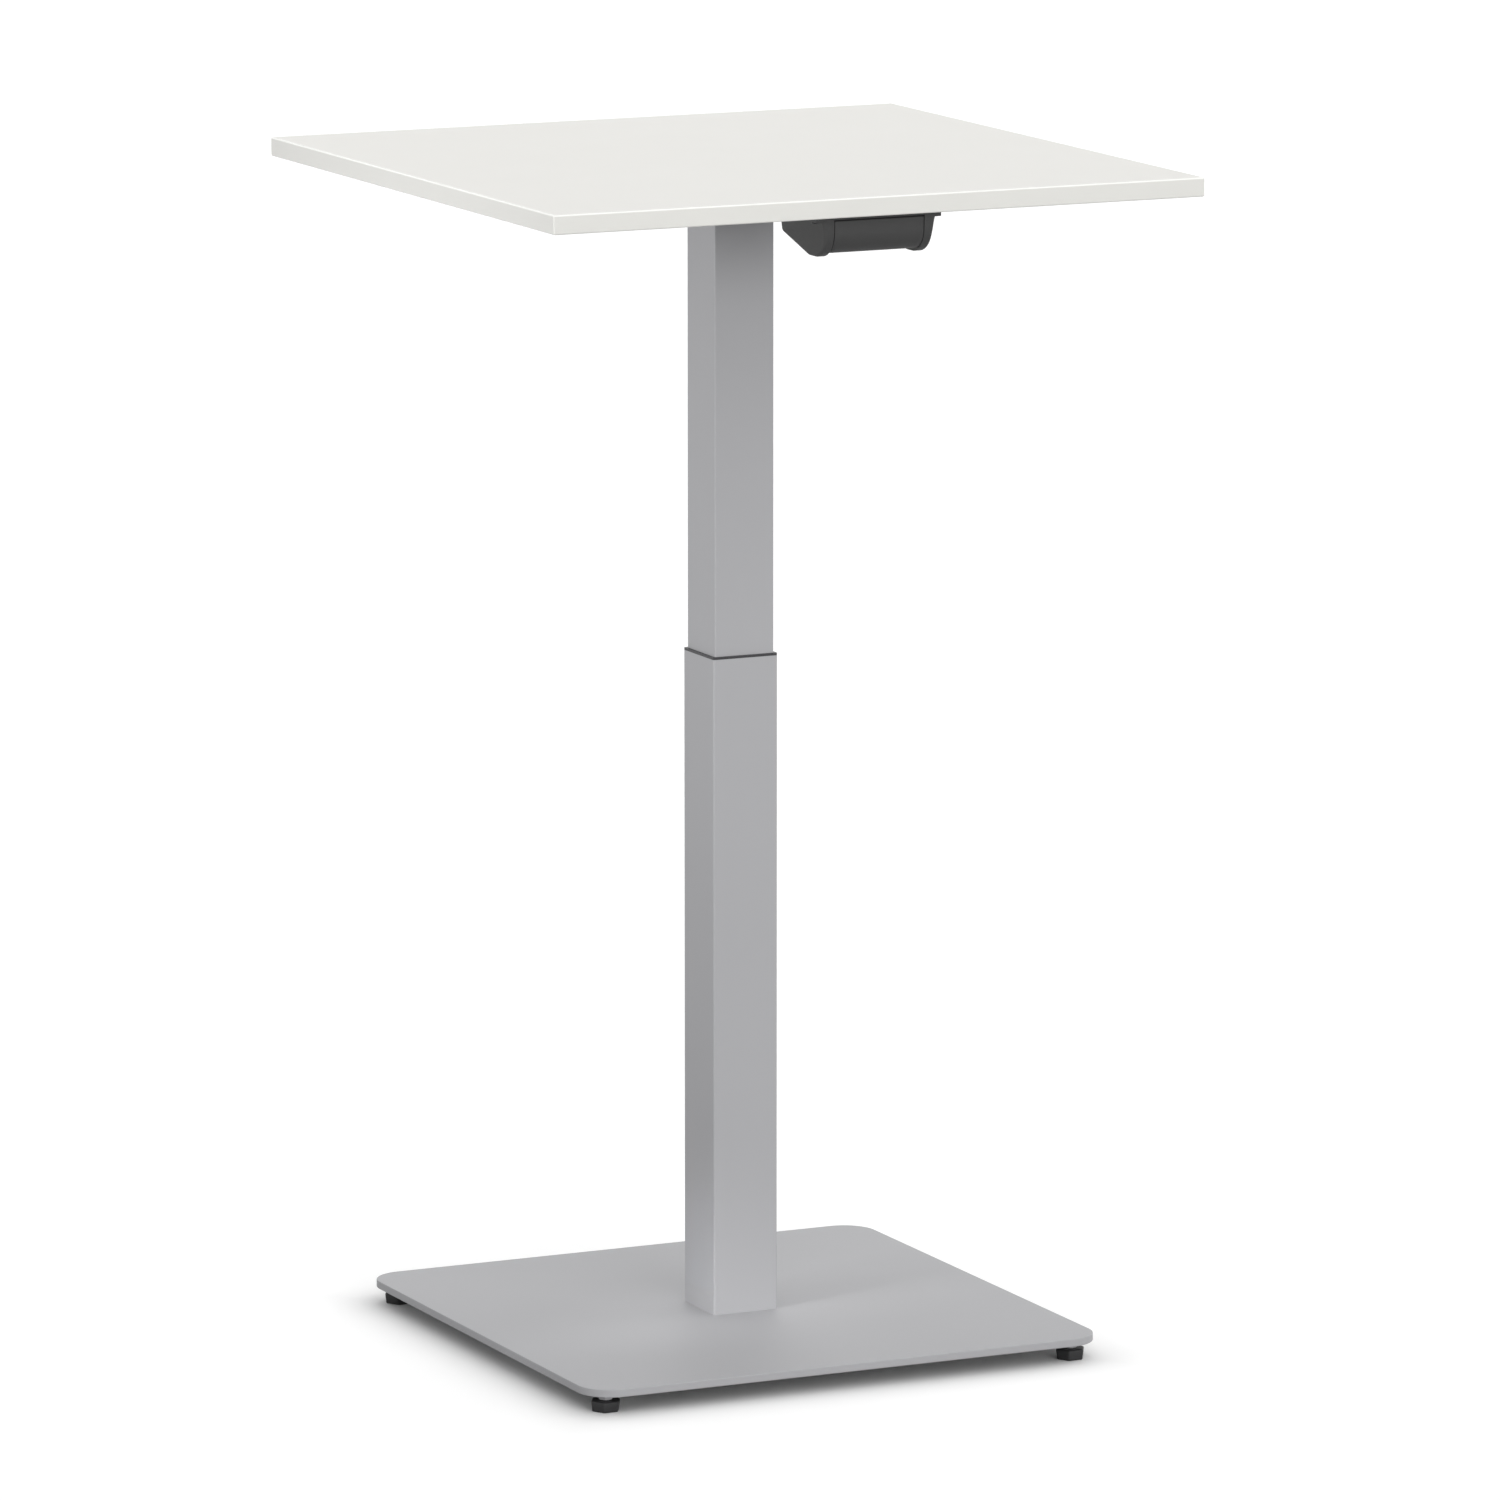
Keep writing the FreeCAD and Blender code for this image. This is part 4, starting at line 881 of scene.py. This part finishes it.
# %% Weld under the top
def weld_grid(leg, pitch):
    """The section's reach is a share of the leg, plus a ripple by the way along over the pitch, set back by
    the angle away from the bead's middle, less a hollow. Two points inside the corner close the section."""
    share, ripple, ripple_power, hollow, set_back, bite = 0.94, 0.12, 0.7, 0.16, 0.9, 0.4 * MM
    tube_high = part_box("inner_tube")[1]
    half = tube_high[0]
    around = 8 * half
    corners = [(-half, -half), (half, -half), (half, half), (-half, half)]
    path, outward = walked(rounded(corners, [MM] * 4), steps=1040)
    along = np.linspace(0, around, len(path), endpoint=False)
    angle = np.linspace(0, math.pi / 2, 9)[:, None]
    lag = np.abs(angle - math.pi / 4) * set_back * leg
    wave = np.sin(math.pi * (((along + lag) * round(around / pitch) / around) % 1))
    reach = leg * (share + ripple * wave ** ripple_power - hollow * np.sin(2 * angle) ** 2)
    flat = np.ones((1, len(path)))
    out = np.concatenate([reach * np.cos(angle), -bite * flat, -bite * flat])
    down = np.concatenate([reach * np.sin(angle), leg * flat, -bite * flat])
    place = path[None] + out[..., None] * outward[None]
    return np.concatenate([place, (tube_high[2] - down)[..., None]], axis=2)


weld = shell_mesh("plate_weld", [weld_grid(leg=4.5 * MM, pitch=2.6 * MM)], close_rows=True)
show_piece("plate_weld", weld, "lift", "powder_coated_steel", sharp=60)

# %% [markdown]
# ## Camera
# The picture was taken from in front and a little to the left, ten degrees down, through a long lens. Both
# were worked out by matching the edges of the top, column and base.

# %% Camera
camera_place = (-4.33946, -9.24560, 2.43409)
camera_down = math.radians(10.1847)
camera_turn = math.radians(-25.253)
camera_data = bpy.data.cameras.new("camera")
camera_data.sensor_width = 36.0
camera_data.lens = 247.238
camera_data.clip_end = 200.0
camera = add_object("camera", camera_data)
camera.location = camera_place
camera.rotation_euler = (math.pi / 2 - camera_down, 0.0, camera_turn)
bpy.context.scene.camera = camera
print("the camera sees", round(math.degrees(camera_data.angle), 2), "degrees across")

# %% [markdown]
# ## Room and floor
# The table stands on white paper in a white room. Modelled walls would show corners, so the room is a plain
# world, and the floor is one sheet that can't be seen from below. To the camera and to mirrors both are
# white, but the light that they give to the table is weaker. Under and around the base plate a painted shadow
# greys the paper, by an outline that follows the plate, on top of its rendered shadow.

# %% Room and floor
def looked_at(start):
    """1 where a ray comes from the camera, a mirror or a glass, and 0 where it carries light."""
    rays = start.node("ShaderNodeLightPath").socket.node.outputs
    camera_ray, mirror_ray, glass_ray = (Wire(start.tree, rays[f"Is {kind} Ray"])
                                         for kind in ("Camera", "Glossy", "Transmission"))
    return start.node("ShaderNodeClamp", inputs={0: camera_ray + mirror_ray + glass_ray})


def white_room(light_level):
    """A world that is white to look at and lights at its own level."""
    world = bpy.data.worlds.new("white_room")
    world.use_nodes = True
    background = world.node_tree.nodes["Background"]
    background.inputs["Color"].default_value = (1, 1, 1, 1)
    seen = looked_at(Wire(world.node_tree))
    (light_level + (1 - light_level) * seen).into(background, "Strength")
    bpy.context.scene.world = world


def paper_level(start, near_level, far_level, light_level):
    """How white the paper is: to look at, a painted shadow greys it near the base plate, and it climbs to
    white across the plate's edge, by the larger of the distances along X and Y; for the light that it throws
    back, it has one plain level."""
    fade_start, fade_end = -70 * MM, 80 * MM
    place = start.node("ShaderNodeTexCoord", output="Object")
    sides = start.node("ShaderNodeSeparateXYZ", inputs={0: place}).socket.node.outputs
    across, deep = (start.math("ABSOLUTE", Wire(start.tree, sides[axis]), 0.0) for axis in ("X", "Y"))
    beyond = start.math("MAXIMUM", across, deep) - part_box("base_plate")[1][0]
    # painted shadow: to the camera the paper is greyer from 70 mm inside the plate's edge, climbing to white
    # 80 mm past it
    seen_level_with_painted_shadow = climb_between(beyond, fade_start, fade_end, near_level, far_level)
    return light_level + (seen_level_with_painted_shadow - light_level) * looked_at(start)


def paper_floor(half_size, **levels):
    """A square of matt paper on the floor, which is clear from below."""
    corners = half_size * np.array([(-1, -1, 0), (1, -1, 0), (1, 1, 0), (-1, 1, 0)])
    mesh = bpy.data.meshes.new("floor")
    mesh.from_pydata(corners.tolist(), [], [(0, 1, 2, 3)])
    material = bpy.data.materials.new("paper_floor")
    material.use_nodes = True
    tree = material.node_tree
    tree.nodes.clear()
    start = Wire(tree)
    level = paper_level(start, **levels)
    colour = start.node("ShaderNodeCombineColor", inputs={0: level, 1: level, 2: level})
    paper = start.node("ShaderNodeBsdfDiffuse", inputs={"Color": colour})
    clear = start.node("ShaderNodeBsdfTransparent")
    under = start.node("ShaderNodeNewGeometry", output="Backfacing")
    both = start.node("ShaderNodeMixShader", inputs={0: under, 1: paper, 2: clear})
    both.into(tree.nodes.new("ShaderNodeOutputMaterial"), "Surface")
    mesh.materials.append(material)
    floor = add_object("floor", mesh)


white_room(light_level=0.42)
paper_floor(half_size=40.0, near_level=0.84, far_level=1.09, light_level=0.3)
print("a white room with a paper floor")

# %% [markdown]
# ## Lights
# A soft sky hangs over the table, and soft walls of light stand around it, the front ones brightest. Large
# lamps near by would leave patches on the floor, so these are far-off discs as wide as a wall. Three small
# lamps with grids stand near: one brightens the left of the column and the edge of the top, the others only
# the foot of the column and the base plate.

# %% Lights
def far_light(name, azimuth, elevation, width, level):
    """A disc of light far away, width degrees across; at level 1 it alone shows a white card as white. The
    azimuth is 0 in front of the table and 90 at its right."""
    data = bpy.data.lights.new(name, "SUN")
    data.energy = level * math.pi
    data.angle = math.radians(width)
    lamp = add_object(name, data)
    lamp.rotation_euler = (math.radians(90 - elevation), 0.0, math.radians(azimuth))


def near_light(name, place, aim, side, spread, power):
    """A square lamp with a grid that narrows its spread, turned from its place to an aim, out of sight."""
    data = bpy.data.lights.new(name, "AREA")
    data.shape = "SQUARE"
    data.size = side
    data.spread = math.radians(spread)
    data.energy = power
    lamp = add_object(name, data)
    lamp.location = place
    x, y, z = np.array(aim) - np.array(place)
    lamp.rotation_euler = (math.pi / 2 + math.atan2(z, math.hypot(x, y)), 0.0, math.atan2(-x, y))
    lamp.visible_camera = False


far_lights = [
    # name, azimuth, elevation, width, level
    ("sky", 0, 90, 100, 0.12),
    ("sky_100", 100, 50, 70, 0.07),
    ("sky_140", 140, 50, 70, 0.07),
    ("sky_180", 180, 50, 70, 0.07),
    ("wall_front", 0, 25, 70, 0.35),
    ("low_front", 0, 5, 24, 0.4),
    ("wall_right", 90, 12, 70, 0.28),
    ("wall_back", 180, 20, 70, 0.1),
]
near_lights = [
    # name, place, aim, side, spread, power
    ("lamp_left", (-3.2, -0.3, 0.95), (0.0, 0.0, 0.95), 0.5, 44, 3.0),
    ("lamp_foot", (-1.16, -0.4, 0.53), (-0.03, -0.03, 0.04), 0.08, 12, 0.036),
    ("lamp_base", (-0.25, -1.3, 2.0), (-0.02, -0.12, 0.026), 0.08, 8, 0.008),
]
for row in far_lights:
    far_light(*row)
for row in near_lights:
    near_light(*row)
bpy.context.scene.view_settings.view_transform = "Standard"
print("lit by", len(far_lights), "far lights and", len(near_lights), "near lamps")
